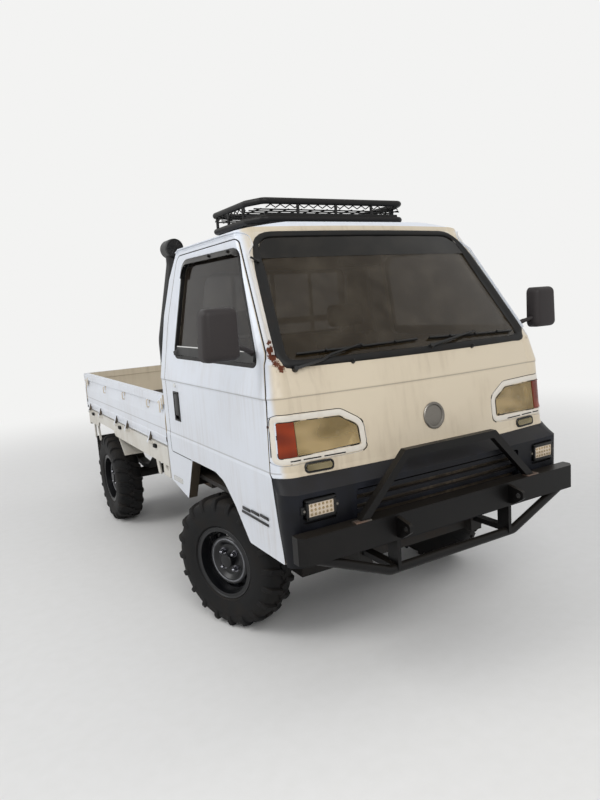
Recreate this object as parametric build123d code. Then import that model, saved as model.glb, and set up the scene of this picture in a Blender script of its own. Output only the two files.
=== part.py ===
from build123d import *
import os
from collections import namedtuple
from math import cos, radians, sin

# Kei truck: a small cab-over pickup with right-hand drive, four-wheel drive, a drop-side bed,
# a welded steel bumper with a hoop, a roof basket and a raised air intake.
# Millimetres. The truck faces -Y, +X is its left side and +Z is up. While it is modelled the
# front axle lies at y = 0; write() moves every piece so that y = 0 lies midway between the
# tips of the shackle tabs and the tailgate's hinge pins, and the ground is z = 0.

# Overall sizes
WHEELBASE = 1905
FRONT_REACH = 915
GATE_PIN_R = 9
BED_REAR = 2410
GATE_T = 30
GATE_PIN_OUT = 15
REAR_REACH = BED_REAR + GATE_T + GATE_PIN_OUT + GATE_PIN_R
HALF_W = 697.5

# Gaps between panels, and running clearance of pins and shafts
DOOR_GAP = 5
RUN = 0.05
SEAT = 0.3

# Wheels and tyres
TYRE_R = 305
TYRE_W = 174
BEAD_R = 152
RIM_W = 140
RIM_FLANGE_R = 165
RIM_WALL = 7
RIM_BORE_R = 30
TREAD_R = 293
WIDEST_R = 222
LUGS = 11
TREAD_LUG_W = 50
LUG_SLANT = 8
LUG_INNER = 8
DISC_OUT = 18
DISC_T = 8
FRONT_TRACK_HALF = 601
REAR_TRACK_HALF = 629

# Steering: the kingpin stands upright inside the wheel, and the truck is parked with its
# wheels turned to its left
STEER_REST = 21.5
KINGPIN_X = 560
KINGPIN_OFFSET = (FRONT_TRACK_HALF - KINGPIN_X) / cos(radians(STEER_REST))
STEER_ARM = 85
TIE_R = 10
TIE_Z = 252
RACK_R = 22
PIN_R = 12

# Cab
PANEL_T = 45
FRONT_T = 30
REAR_T = 35
SILL_Z = 512
BUMPER_TOP = 832
CREASE_Z = 1110
GLASS_LOW = 1228
GLASS_TOP = 1712
ROOF_SEAM = 1728
ROOF_TOP = 1790
ROOF_T = 24
GLASS_T = 5
GLASS_INSET = 5
FLOOR_Z = 565
FLOOR_T = 20
WELL_TOP = 640
WELL_X = 345
CAB_INNER_X = 640
BEYOND = -300

# Bed
BED_FRONT = 512
BED_FLOOR_Z = 745
BED_FLOOR_T = 28
GATE_LOW = 762
GATE_TOP = 1026
GATE_GAP = 6
GATE_PIN_Z = 745
GATE_PIN_X = HALF_W + GATE_PIN_OUT
RAIL_LOW = 685
LIP_LOW = 652
LIP_T = 12
FLAP_Z = 540
LEG_X0 = 678
LEG_X1 = 690

# Chassis
RAIL_IN = 270
RAIL_OUT = 330
RAIL_H = 70
RAIL_FRONT_Z = 395
RAIL_REAR_Z = 570
RAIL_FRONT_Y = -640
RAIL_REAR_Y = 2380
SUB_Z = 175

# Steel bumper
BEAM_Y = -840
BEAM_D = 60
BEAM_LOW = 557
BEAM_H = 100
BEAM_HALF = 700
TUBE_SIDE = 30
LOWER_TUBE_R = 18
BEAM_WALL = 6
BEAM_END = 24
UPRIGHT_X = 282
UPRIGHT_T = 16


def box(x0, x1, y0, y1, z0, z1):
    return Pos((x0 + x1) / 2, (y0 + y1) / 2, (z0 + z1) / 2) * Box(x1 - x0, y1 - y0, z1 - z0)


def mirrored(shape):
    return mirror(shape, about=Plane.YZ)


def both(shape):
    return shape + mirrored(shape)


def outline(points, radii=0):
    if not radii:
        return make_face(Polyline(*points, close=True))
    return make_face(FilletPolyline(*points, radius=radii, close=True))


def along_x(face, x0, x1):
    return extrude(Plane.YZ.offset(x0) * face, x1 - x0)


def along_y(face, y0, y1):
    return extrude(Plane.XZ.offset(-y1) * face, y1 - y0)


def along_z(face, z0, z1):
    return extrude(Plane.XY.offset(z0) * face, z1 - z0)


def rod(start, end, radius):
    line = Edge.make_line(start, end)
    return sweep(Plane(origin=start, z_dir=line % 0) * Circle(radius), path=line)


def pipe(points, bends, radius):
    path = FilletPolyline(*points, radius=bends)
    start = Plane(origin=path @ 0, z_dir=path % 0)
    return sweep(start * Circle(radius), path=path)


def cyl_x(x0, x1, y, z, radius):
    return Pos(x0, y, z) * extrude(Plane.YZ * Circle(radius), x1 - x0)


def cyl_y(x, y0, y1, z, radius):
    return Pos(x, y1, z) * extrude(Plane.XZ * Circle(radius), y1 - y0)


def cyl_z(x, y, z0, z1, radius):
    return Pos(x, y, z0) * extrude(Circle(radius), z1 - z0)


# The cab's outer skin as level rings, from the sill to the roof seam
Ring = namedtuple("Ring", "z half_w side_y corner_x corner_y mid_y rear_y")
CAB_RINGS = [
    Ring(SILL_Z, 692, -702, 655, -727, -738, 500),
    Ring(BUMPER_TOP, 697.5, -640, 604, -712, -745, 500),
    Ring(BUMPER_TOP + 18, 694, -638, 602, -706, -741, 500),
    Ring(CREASE_Z - 8, 694, -630, 602, -674, -708, 505),
    Ring(CREASE_Z + 6, 697.5, -628, 604, -674, -710, 506),
    Ring(GLASS_LOW, 678, -602, 606, -640, -694, 512),
    Ring(1420, 643.6, -473.8, 571, -508.3, -556, 522),
    Ring(1600, 611.3, -353.6, 538, -384.8, -427, 482),
    Ring(ROOF_SEAM, 588.3, -268.1, 515, -297, -335, 402),
]
# Rings of the roof above the seam: height, and how far the skin has drawn in by there
ROOF_RINGS = [(ROOF_SEAM, 0), (ROOF_SEAM + 20, 7), (ROOF_SEAM + 38, 28), (ROOF_SEAM + 70, 110)]
ROOF_CROWN_X = 3200
ROOF_CROWN_Y = 2460
ROOF_PEAK_Y = 30
CORNER_BULGE = 0.2


def ring_face(ring, side=0, front=0, rear=0):
    """One level ring of the cab, drawn in by the given wall thicknesses."""
    w = ring.half_w - side
    y_side = ring.side_y + front
    cx = ring.corner_x - 0.55 * side
    y_corner = ring.corner_y + front
    y_mid = ring.mid_y + front
    y_rear = ring.rear_y - rear
    dx, dy = w - cx, y_side - y_corner
    bulge = (dy * CORNER_BULGE, dx * CORNER_BULGE)
    corner = ((w + cx) / 2 + bulge[0], (y_side + y_corner) / 2 - bulge[1])
    edges = [
        Line((-w, y_rear), (-w, y_side)),
        ThreePointArc((-w, y_side), (-corner[0], corner[1]), (-cx, y_corner)),
        ThreePointArc((-cx, y_corner), (0, y_mid), (cx, y_corner)),
        ThreePointArc((cx, y_corner), corner, (w, y_side)),
        Line((w, y_side), (w, y_rear)),
        Line((w, y_rear), (-w, y_rear)),
    ]
    return Pos(0, 0, ring.z) * make_face(edges)


def cab_solid(side=0, front=None, rear=None, low=0, high=0):
    """The cab's solid from sill to roof seam, drawn in by wall thicknesses."""
    front = side if front is None else front
    rear = side if rear is None else rear
    rings = list(CAB_RINGS)
    rings[0] = rings[0]._replace(z=rings[0].z - low)
    rings[-1] = rings[-1]._replace(z=rings[-1].z + high)
    return loft([ring_face(r, side, front, rear) for r in rings], ruled=True)


def roof_solid():
    seam = CAB_RINGS[-1]
    faces = [ring_face(seam._replace(z=z), draw, draw, draw) for z, draw in ROOF_RINGS]
    crown_x = cyl_y(0, -900, 900, ROOF_TOP - ROOF_CROWN_X, ROOF_CROWN_X)
    crown_y = cyl_x(-900, 900, ROOF_PEAK_Y, ROOF_TOP - ROOF_CROWN_Y, ROOF_CROWN_Y)
    return loft(faces, ruled=True) & crown_x & crown_y


# Outlines seen from the side, as (y, z)
DOOR_POINTS = [
    (-641, BUMPER_TOP + 14),
    (-655, BUMPER_TOP),
    (-706, SILL_Z + 4),
    (-414, SILL_Z + 4),
    (-302, 640),
    (-205, 722),
    (-120, 745),
    (447, 745),
    (447, CREASE_Z),
    (458, 1400),
    (392, 1704),
    (-300, 1704),
    (-609, 1257),
    (-644, CREASE_Z + 10),
]
DOOR_RADII = [2, 3, 14, 30, 60, 90, 120, 20, 500, 300, 60, 50, 120, 60]
WINDOW_POINTS = [(-566, 1226), (318, 1230), (296, 1664), (-312, 1656)]
WINDOW_RADII = [20, 45, 70, 60]
ARCH_POINTS = [
    (-412, SILL_Z - 60),
    (-412, SILL_Z),
    (-302, 640),
    (-205, 722),
    (-120, 745),
    (158, 745),
    (268, 540),
    (500, 590),
    (560, 590),
    (560, SILL_Z - 60),
]
# Outlines seen from the front, as (x, z)
SCREEN_POINTS = [(-598, GLASS_LOW), (598, GLASS_LOW), (512, GLASS_TOP), (-512, GLASS_TOP)]
SCREEN_RADII = [36, 36, 75, 75]
REAR_SCREEN = [(-470, 1270), (470, 1270), (430, 1620), (-430, 1620)]
REAR_SCREEN_R = 60
LAMP_POINTS = [(672, 1028), (427, 1023), (356, 981), (353, 910), (675, 900)]
LAMP_RADII = [10, 30, 30, 14, 10]
TURN_X = 612
LAMP_D = 26
SURROUND = 28
GROOVE = 3


def door_face():
    return outline(DOOR_POINTS, DOOR_RADII)


def window_face():
    return outline(WINDOW_POINTS, WINDOW_RADII)


def screen_face():
    return outline(SCREEN_POINTS, SCREEN_RADII)


def lamp_face():
    return outline(LAMP_POINTS, LAMP_RADII)


def cab_shell():
    """The whole skin of the cab below the roof seam, as thick as its doors and walls."""
    outer = cab_solid()
    inner = cab_solid(PANEL_T, FRONT_T, REAR_T, low=50, high=50)
    return outer - inner


def sides(face, x0, x1):
    """A prism of a side outline on both sides of the truck."""
    return along_x(face, x0, x1) + along_x(face, -x1, -x0)


def cab_nodes():
    shell = cab_shell()
    behind_door = cab_solid(PANEL_T + DOOR_GAP, BEYOND, BEYOND, low=50, high=50)
    fixed = shell - (sides(door_face(), 500, 760) - behind_door)
    fixed -= along_x(outline(ARCH_POINTS), -760, 760)
    fixed -= both(box(500, 760, -450, 150, 400, 742))
    fixed -= along_y(screen_face(), -900, -200)
    front_zone = box(-760, 760, -900, -400, SILL_Z - 1, GLASS_LOW)
    low_sides = both(box(604, 760, -900, -400, SILL_Z - 1, BUMPER_TOP))
    below = box(-760, 760, -900, -400, SILL_Z - 1, 600)
    front = (fixed & front_zone) - low_sides - below
    lamp = both(along_y(lamp_face(), -900, -600))
    front -= lamp
    ring = offset(lamp_face(), SURROUND) - offset(lamp_face(), SURROUND - GROOVE)
    front -= both(along_y(ring, -900, -600)) - cab_solid(GROOVE)
    rear_zone = box(-560, 560, 380, 900, 660, ROOF_SEAM)
    rear_hole = along_y(outline(REAR_SCREEN, REAR_SCREEN_R), 300, 900)
    rear = (fixed & rear_zone) - rear_hole
    low_zone = box(-760, 760, -900, -400, SILL_Z - 1, GLASS_LOW)
    frame = fixed - low_zone - rear_zone - box(-560, 560, 300, 900, SILL_Z - 1, 660)
    roof = roof_solid()
    seam = CAB_RINGS[-1]
    cavity = loft(
        [
            ring_face(seam._replace(z=ROOF_SEAM - 1), PANEL_T, FRONT_T, REAR_T),
            ring_face(seam._replace(z=ROOF_TOP - 2 * ROOF_T), PANEL_T + 60, FRONT_T + 60, REAR_T + 60),
        ],
        ruled=True,
    )
    roof_panel = roof - cavity
    pane = cab_solid(GLASS_INSET) - cab_solid(GLASS_INSET + GLASS_T)
    screen = pane & along_y(screen_face(), -900, -200)
    rear_pane = pane & rear_hole & box(-760, 760, 300, 900, 0, 2000)
    door_skin = cab_solid() - cab_solid(PANEL_T, BEYOND, BEYOND, low=50, high=50)
    lens = (cab_solid(2) - cab_solid(LAMP_D)) & lamp & box(-760, 760, -900, -650, 800, 1200)
    turn_zone = both(box(TURN_X, 760, -900, -500, 800, 1200))
    return {
        "cab_front_panel": front,
        "cab_side_frame": frame,
        "cab_rear_wall": rear,
        "cab_roof": roof_panel,
        "cab_glass": Compound(children=[screen.solids()[0], rear_pane.solids()[0]]),
        "headlamps": lens - turn_zone,
        "turn_lamps": lens & turn_zone,
        "door": door_skin & along_x(offset(door_face(), -DOOR_GAP), -760, -500),
        "pane": cab_solid(GLASS_DEPTH) - cab_solid(GLASS_DEPTH + GLASS_T),
    }


def door_nodes(cab):
    """The right door, its glass and its mirror. The left ones are mirrored."""
    hole = along_x(window_face(), -760, -500)
    panel = cab["door"] - hole
    handle = along_x(outline([(268, 918), (342, 918), (342, 1061), (268, 1061)], 12), -760, -682)
    panel -= handle
    glass = cab["pane"] & hole
    return panel, glass, door_mirror()


GLASS_DEPTH = 14
MIRROR_X = 803
MIRROR_Y = -580
MIRROR_Z = 1346
MIRROR_W = 180
MIRROR_H = 190
MIRROR_D = 60
ARM_X = 716
ARM_Z = 1290


def door_mirror():
    """Housing with rounded edges on a short bent arm from the window's front lower corner."""
    housing = Pos(-MIRROR_X, MIRROR_Y, MIRROR_Z) * Box(MIRROR_W, MIRROR_D, MIRROR_H)
    housing = fillet(housing.edges().filter_by(Axis.Y), 34)
    housing = fillet(housing.faces().sort_by(Axis.Y)[0].edges(), 20)
    glass = box(-MIRROR_X - 78, -MIRROR_X + 78, MIRROR_Y + 22, MIRROR_Y + 40, MIRROR_Z - 82, MIRROR_Z + 82)
    housing -= glass
    arm = rod((-660, MIRROR_Y + 52, ARM_Z - 24), (-ARM_X - 24, MIRROR_Y, ARM_Z + 12), 11)
    triangle = [(-600, 1200), (-478, 1200), (-478, 1240), (-538, 1345), (-600, 1345)]
    corner = offset(window_face(), -SEAT) & outline(triangle)
    base = (cab_solid() - cab_solid(GLASS_DEPTH)) & along_x(corner, -760, -500)
    arm -= cab_solid(1)
    arm -= cab_solid(-SEAT) - along_x(corner, -760, -500)
    return housing + arm + base


def wheel_profile(centre_x, wheel_y):
    """Turns a profile, given as (offset outward, radius), round the wheel's axle."""

    def turn(points):
        face = make_face(Polyline(*[(u, r) for u, r in points], close=True))
        solid = revolve(Plane.XZ * face, Axis.X)
        return Pos(centre_x, wheel_y, TYRE_R) * solid

    return turn


def tyre_lugs(side):
    """The lugs of one half of the tread, from near its middle over the shoulder and down the side."""
    half = TYRE_W / 2 - 3
    section = [
        (LUG_INNER, TREAD_R - 4),
        (LUG_INNER, TYRE_R),
        (half - 16, TYRE_R),
        (half, TYRE_R - 40),
    ]
    face = make_face(Polyline(*section, close=True))
    lug = extrude(Plane.XZ * face, TREAD_LUG_W / 2, both=True)
    middle = (LUG_INNER + half) / 2
    lug = Pos(middle, 0, 0) * Rot(0, 0, LUG_SLANT) * Pos(-middle, 0, 0) * lug
    if side < 0:
        lug = mirrored(lug)
    pitch = 360 / LUGS
    first = 180 if side > 0 else 180 + pitch / 2
    return [Rot(first + pitch * k, 0, 0) * lug for k in range(LUGS)]


def tyre(centre_x, wheel_y, out):
    """Round carcass with separate lugs. out is 1 or -1, the side that shows."""
    half = TYRE_W / 2 - 2
    profile = [
        (-RIM_W / 2 + 8, BEAD_R),
        (-RIM_W / 2 + 8, RIM_FLANGE_R),
        (-half, WIDEST_R),
        (-half + 14, TREAD_R),
        (half - 14, TREAD_R),
        (half, WIDEST_R),
        (RIM_W / 2 - 8, RIM_FLANGE_R),
        (RIM_W / 2 - 8, BEAD_R),
    ]
    face = make_face(Polyline(*profile, close=True))
    solid = revolve(Plane.XZ * face, Axis.X).fuse(*tyre_lugs(1), *tyre_lugs(-1))
    return Pos(centre_x, wheel_y, TYRE_R) * Rot(0, 0, 0 if out > 0 else 180) * solid


def rim(centre_x, wheel_y, out):
    """Steel wheel: a flanged barrel with a dished disc on its outer side. out is 1 or -1."""
    half = RIM_W / 2
    inner = BEAD_R - RIM_WALL
    barrel = [
        (-half, inner),
        (-half, RIM_FLANGE_R),
        (-half + 7.5, RIM_FLANGE_R),
        (-half + 7.5, BEAD_R),
        (half - 7.5, BEAD_R),
        (half - 7.5, RIM_FLANGE_R),
        (half, RIM_FLANGE_R),
        (half, inner),
    ]
    face, back = DISC_OUT + DISC_T, DISC_OUT
    disc = [
        (back * out, RIM_BORE_R),
        (face * out, RIM_BORE_R),
        (face * out, 72),
        ((face + 14) * out, 88),
        ((face + 14) * out, 108),
        ((face - 2) * out, 132),
        ((face - 2) * out, inner + 0.5),
        ((back - 2) * out, inner + 0.5),
        ((back - 2) * out, 128),
        ((back + 14) * out, 104),
        ((back + 14) * out, 92),
        (back * out, 76),
    ]
    turn = wheel_profile(centre_x, wheel_y)
    solid = turn(barrel) + turn(disc)
    hole = SlotOverall(34, 14)
    for k in range(12):
        place = Pos(centre_x, wheel_y, TYRE_R) * Rot(30 * k, 0, 0)
        cut = extrude(Plane.YZ.offset(-10 + 30 * out) * Pos(0, 120) * hole, 60, both=True)
        solid -= place * cut
    return solid


def turned(shape, side):
    """Turns a front wheel's piece from straight ahead to where the truck is parked."""
    x = side * KINGPIN_X
    return Pos(x, 0, 0) * Rot(0, 0, STEER_REST) * Pos(-x, 0, 0) * shape


HUB_FACE = KINGPIN_X + KINGPIN_OFFSET + DISC_OUT


def knuckle(side):
    """Knuckle as it stands straight ahead on the left; mirrored for the right."""
    upright = box(KINGPIN_X - 12, KINGPIN_X + 12, -22, 22, 204, 406)
    lower_pin = cyl_z(KINGPIN_X, 0, 178, 206, PIN_R)
    upper_pin = cyl_z(KINGPIN_X, 0, 404, 432, PIN_R)
    flange = HUB_FACE - RUN
    hub = cyl_x(KINGPIN_X, flange, 0, TYRE_R, 34) + cyl_x(flange - 12, flange, 0, TYRE_R, 62)
    spigot = cyl_x(flange, HUB_FACE + 34, 0, TYRE_R, RIM_BORE_R - RUN)
    arm = box(KINGPIN_X - 12, KINGPIN_X + 12, -STEER_ARM - 14, 10, TIE_Z - TIE_R - 17, TIE_Z - TIE_R - 5)
    solid = upright + lower_pin + upper_pin + hub + spigot + arm
    return solid if side > 0 else mirrored(solid)


ARM_LOW = 183
ARM_TOP = 200
FOOT_LOW = 411
FOOT_TOP = 428


def front_suspension():
    """Lower arms, strut feet, struts and springs, and the rack's housing between them."""
    root, tip = RAIL_OUT - 5, KINGPIN_X + 4
    plan = [(root, -70), (root, 70), (515, 26), (tip, 24), (tip, -24), (515, -26)]
    arm = along_z(outline(plan), ARM_LOW, ARM_TOP)
    arm += cyl_z(KINGPIN_X, 0, ARM_LOW, ARM_TOP, 24)
    arm -= cyl_z(KINGPIN_X, 0, 170, 210, PIN_R + RUN)
    foot = box(440, KINGPIN_X, -20, 20, FOOT_LOW, FOOT_TOP) + cyl_z(KINGPIN_X, 0, FOOT_LOW, FOOT_TOP, 22)
    foot -= cyl_z(KINGPIN_X, 0, 400, 440, PIN_R + RUN)
    strut = rod((456, 0, 425), (430, 0, WELL_TOP), 22)
    spring = rod((443, 0, 540), (431.5, 0, WELL_TOP), 41)
    upper = (foot + strut + spring) - box(300, 700, -200, 200, WELL_TOP, 800)
    rack = cyl_x(-284, 284, -STEER_ARM, TIE_Z, RACK_R) - cyl_x(-300, 300, -STEER_ARM, TIE_Z, TIE_R + SEAT)
    solids = [arm, upper, mirrored(arm), mirrored(upper), rack]
    return Compound(children=[s.solids()[0] for s in solids])


def tie_rod():
    shift = STEER_ARM * sin(radians(STEER_REST))
    reach = KINGPIN_X + PIN_R
    return cyl_x(shift - reach, shift + reach, -STEER_ARM, TIE_Z, TIE_R)


def chassis_frame():
    """Two rails that kick up behind the cab, cross members, and the front subframe."""
    low, high = RAIL_FRONT_Z, RAIL_REAR_Z
    rail = outline(
        [
            (RAIL_FRONT_Y, low),
            (430, low),
            (600, high),
            (RAIL_REAR_Y, high),
            (RAIL_REAR_Y, high + RAIL_H),
            (575, high + RAIL_H),
            (405, low + RAIL_H),
            (RAIL_FRONT_Y, low + RAIL_H),
        ]
    )
    frame = both(along_x(rail, RAIL_IN, RAIL_OUT))
    for y in (-600, -300, 300):
        frame += box(-RAIL_IN, RAIL_IN, y, y + 50, low + 5, low + RAIL_H - 5)
    for y in (640, 1080, 1820, 2300):
        frame += box(-RAIL_IN, RAIL_IN, y, y + 50, high + 20, high + RAIL_H - 5)
    for y in (665, 1000, 1440, 1760, 2300):
        frame += box(-638, 638, y, y + 50, high + RAIL_H, BED_FLOOR_Z - BED_FLOOR_T)
    plate = box(RAIL_OUT - 45, RAIL_OUT - 5, -150, 150, SUB_Z, low)
    plate -= cyl_x(200, 400, 0, TYRE_R, 45)
    plate -= cyl_x(200, 400, -STEER_ARM, TIE_Z, RACK_R + SEAT)
    frame += both(plate)
    for y in (-150, 110):
        frame += box(-RAIL_OUT + 5, RAIL_OUT - 5, y, y + 40, SUB_Z, SUB_Z + 45)
    return frame


def cab_floor():
    """Footwell, wheel wells and seat base pressed from one floor pan."""
    t = FLOOR_T
    foot = box(-615, 615, -705, -WELL_X - t, FLOOR_Z - t, FLOOR_Z)
    step = box(-CAB_INNER_X, CAB_INNER_X, -WELL_X - t, -WELL_X, FLOOR_Z - t, WELL_TOP + t)
    step -= both(box(620, 700, -WELL_X - t - 5, -WELL_X - t + 5, 500, 700))
    top = box(-CAB_INNER_X, CAB_INNER_X, -WELL_X, 462, WELL_TOP, WELL_TOP + t)
    wall = both(box(RAIL_OUT + 3, WELL_X, -WELL_X - t, 462, RAIL_FRONT_Z + RAIL_H, WELL_TOP))
    back = box(-CAB_INNER_X, CAB_INNER_X, 462 - t, 462, 545, WELL_TOP)
    seat_base = box(SEAT_IN - 2, SEAT_OUT + 2, -270, 250, WELL_TOP + t, SEAT_BASE_Z)
    seat_base = both(seat_base - box(130, 540, -250, 230, 600, SEAT_BASE_Z - t))
    return foot + step + top + wall + back + seat_base


WORK_LAMP_BACK = -752
SLATS = 5
SLAT_Z = 594
SLAT_PITCH = 36
SLAT_H = 16


def front_bumper():
    """Moulded bumper that wraps round to the doors, with lamp bays and a slatted mouth."""
    rings = [
        Ring(SILL_Z + 4, 690, -700, 646, -752, -764, 0),
        Ring(640, 697.5, -690, 656, -762, -774, 0),
        Ring(785, 697.5, -680, 656, -766, -784, 0),
        Ring(BUMPER_TOP, 697.5, -650, 604, -714, -748, 0),
    ]
    body = loft([ring_face(r._replace(rear_y=-600)) for r in rings], ruled=True)
    hollow = [ring_face(r._replace(rear_y=-590), 30, 30, 0) for r in rings[:-1]]
    hollow[0] = Pos(0, 0, -10) * hollow[0]
    body -= loft(hollow, ruled=True)
    body -= cab_solid()
    edge = [(-641, 900), (-660, BUMPER_TOP), (-711, SILL_Z), (-711, 400), (0, 400), (0, 900)]
    body -= along_x(outline(edge), -760, 760)
    mouth = outline([(-420, 578), (420, 578), (420, 762), (-420, 762)], 12)
    body -= along_y(mouth, -900, -700)
    bay = outline([(508, 676), (642, 676), (642, 768), (508, 768)], 10)
    body -= both(along_y(bay, -900, WORK_LAMP_BACK))
    slat_skin = loft([ring_face(r._replace(rear_y=-600), 8, 8, 0) for r in rings], ruled=True)
    slat_skin -= loft([ring_face(r._replace(rear_y=-590), 28, 28, 0) for r in rings], ruled=True)
    for k in range(SLATS):
        z = SLAT_Z + SLAT_PITCH * k
        body += slat_skin & box(-424, 424, -900, -700, z, z + SLAT_H)
    return body


def steel_bumper():
    """Welded bumper: channel beam, hoop, two uprights with shackle tabs and a bent lower tube."""
    top = BEAM_LOW + BEAM_H
    back = BEAM_Y + BEAM_D
    plan = [
        (-BEAM_HALF, back),
        (-BEAM_HALF, BEAM_Y + BEAM_END),
        (-BEAM_HALF + BEAM_END, BEAM_Y),
        (BEAM_HALF - BEAM_END, BEAM_Y),
        (BEAM_HALF, BEAM_Y + BEAM_END),
        (BEAM_HALF, back),
    ]
    open_back = Pos(0, back) * Rectangle(2 * (BEAM_HALF - BEAM_WALL), 2 * BEAM_END)
    hollow = offset(outline(plan), -BEAM_WALL) + open_back
    beam = along_z(outline(plan), BEAM_LOW, top) - along_z(hollow, BEAM_LOW + BEAM_WALL, top - BEAM_WALL)
    outer = [(-452, top), (-231, 883), (231, 883), (452, top)]
    inner = [(-412, top), (-218, 883 - TUBE_SIDE), (218, 883 - TUBE_SIDE), (412, top)]
    hoop = make_face(Polyline(*outer, *reversed(inner), close=True))
    beam += along_y(hoop, BEAM_Y + 10, BEAM_Y + 10 + TUBE_SIDE)
    beam += both(box(UPRIGHT_X, UPRIGHT_X + UPRIGHT_T, BEAM_Y, back, 440, top - BEAM_WALL))
    tip = -FRONT_REACH
    tab = outline([(BEAM_Y, 648), (tip, 632), (tip, 604), (-868, 572), (BEAM_Y, 570)], [0.5, 13, 13, 10, 0.5])
    tab = along_x(tab, UPRIGHT_X, UPRIGHT_X + UPRIGHT_T) - cyl_x(270, 310, -892, 613, 11)
    beam += both(tab)
    arm = box(282, 318, BEAM_Y + 20, RAIL_FRONT_Y, 442, 464)
    beam += both(arm)
    right_half = [(-640, BEAM_Y + 30, 566), (-325, BEAM_Y + 20, 442)]
    left_half = [(-x, y, z) for x, y, z in reversed(right_half)]
    beam += pipe(right_half + left_half, 60, LOWER_TUBE_R)
    return beam


def small_lamps():
    """Square work lamps in the bumper's bays and slim position lamps under the headlamps."""
    lamp = box(524, 624, WORK_LAMP_BACK - 24, WORK_LAMP_BACK, 694, 758)
    pill = along_y(outline([(483, 847), (582, 847), (582, 869), (483, 869)], 10.5), -900, -600)
    pill = pill & (cab_solid(-6) - cab_solid())
    return Compound(children=(both(lamp).solids() + both(pill).solids()))


def dashboard():
    profile = outline(
        [(-720, 905), (-720, 1160), (-600, 1150), (-560, 1082), (-472, 1066), (-462, 950), (-520, 905)],
        [5, 5, 30, 30, 25, 25, 30],
    )
    room = cab_solid(PANEL_T, FRONT_T, REAR_T) & box(-600, 600, -900, 0, 800, 1300)
    return along_x(profile, -600, 600) & room


SEAT_BASE_Z = 715
SEAT_IN = 112
SEAT_OUT = 558


def seats():
    """Two soft seats, each a cushion and a back in one closed form."""
    base = SEAT_BASE_Z + SEAT
    cushion = [(-250, base), (-268, 800), (-225, 842), (165, 815)]
    back = [(262, 1300), (300, 1345), (372, 1330), (386, 1280), (300, base)]
    profile = outline(cushion + back, [5, 30, 25, 40, 30, 25, 30, 30, 5])
    seat = along_x(profile, SEAT_IN, SEAT_OUT)
    return Compound(children=both(seat).solids())


COLUMN_X = -340
WHEEL_Y = -360
WHEEL_Z = 1030
COLUMN_LEAN = 35
STEER_WHEEL_R = 185


def column_point(down):
    a = radians(COLUMN_LEAN)
    return (COLUMN_X, WHEEL_Y - down * sin(a), WHEEL_Z - down * cos(a))


def steering_column():
    return rod(column_point(40), column_point(535), 26) - rod(column_point(30), column_point(150), 12 + RUN)


def steering_wheel():
    a = COLUMN_LEAN
    place = Pos(*column_point(0)) * Rot(-a, 0, 0)
    rim_ring = Torus(STEER_WHEEL_R - 12, 12)
    boss = Cylinder(44, 30) + Pos(0, 0, -70) * Cylinder(12, 140)
    spokes = Box(2 * (STEER_WHEEL_R - 12), 34, 12) - Box(60, 40, 20)
    lower = Pos(0, -(STEER_WHEEL_R - 12) / 2 - 10, 0) * Box(34, STEER_WHEEL_R - 32, 12)
    return place * (rim_ring + boss + spokes + lower)


BAND_DROP = 24
BAND_RISE = 22


def roof_basket(roof):
    """Basket of bent tube: floor frame with slats, posts, upper rail and short feet."""
    x, y0, y1, z0, z1 = 410, -120, 330, 1806, 1881
    r0, r1 = 14, 14

    def loop(z, radius):
        pts = [(x, y0 + 90, z), (x - 40, y0, z), (-x + 40, y0, z), (-x, y0 + 90, z), (-x, y1, z), (x, y1, z)]
        path = FilletPolyline(*pts, radius=30, close=True)
        start = Plane(origin=path @ 0, z_dir=path % 0)
        return sweep(start * Circle(radius), path=path)

    basket = loop(z0, r0) + loop(z1, r1)
    for px, py in ((x, 0), (x, 160), (x, y1 - 40), (200, y1), (0, y1), (200, y0), (0, y0)):
        basket += rod((px, py, z0), (px, py, z1), 7)
        if px:
            basket += rod((-px, py, z0), (-px, py, z1), 7)
    for k in range(7):
        y = y0 + 50 + 57 * k
        basket += box(-x + 4, x - 4, y, y + 16, z0 - 5, z0 + 5)
    front_edge = [(62 - x, y0 - 8), (x - 62, y0 - 8), (x + 4, y0 + 84)]
    rear_edge = [(x - 4, y0 + 88), (x - 68, y0), (68 - x, y0), (4 - x, y0 + 88), (-x - 4, y0 + 84)]
    basket += along_z(outline(front_edge + rear_edge), z0 - BAND_DROP, z0 + BAND_RISE)
    for px in (-330, 330):
        for py in (y0 + 58, y1 - 58):
            basket += box(px - 20, px + 20, py - 14, py + 14, 1730, z0)
    return basket - roof


SNORKEL_X = -629
SNORKEL_Y = 588
SNORKEL_R = 33
SNORKEL_KNEE_Z = 1300
SNORKEL_HEAD_X = -548
SNORKEL_HEAD_Z = 1758
SNORKEL_HEAD_R = 47


def snorkel():
    """Raised intake: air box under the bed's corner, pipe up the cab's corner and a round head."""
    foot = (SNORKEL_X, SNORKEL_Y, 620)
    knee = (SNORKEL_X, SNORKEL_Y, SNORKEL_KNEE_Z)
    neck = (SNORKEL_HEAD_X, SNORKEL_Y, SNORKEL_HEAD_Z - 80)
    top = (SNORKEL_HEAD_X, SNORKEL_Y, SNORKEL_HEAD_Z)
    body = pipe([foot, knee, neck, top], [220, 120], SNORKEL_R)
    half, r = 50, SNORKEL_HEAD_R
    profile = FilletPolyline((0, -half), (r, -half), (r, half), (0, half), radius=[12, 12])
    head = revolve(make_face(profile + Line((0, half), (0, -half))), Axis.Y)
    body += Pos(SNORKEL_HEAD_X, SNORKEL_Y, SNORKEL_HEAD_Z) * head
    wall = SNORKEL_R + 6
    tank = box(SNORKEL_X - wall, SNORKEL_X + 69, SNORKEL_Y - 58, SNORKEL_Y + 62, 590, 680)
    return body + fillet(tank.edges().filter_by(Axis.Z), 15)


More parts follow.
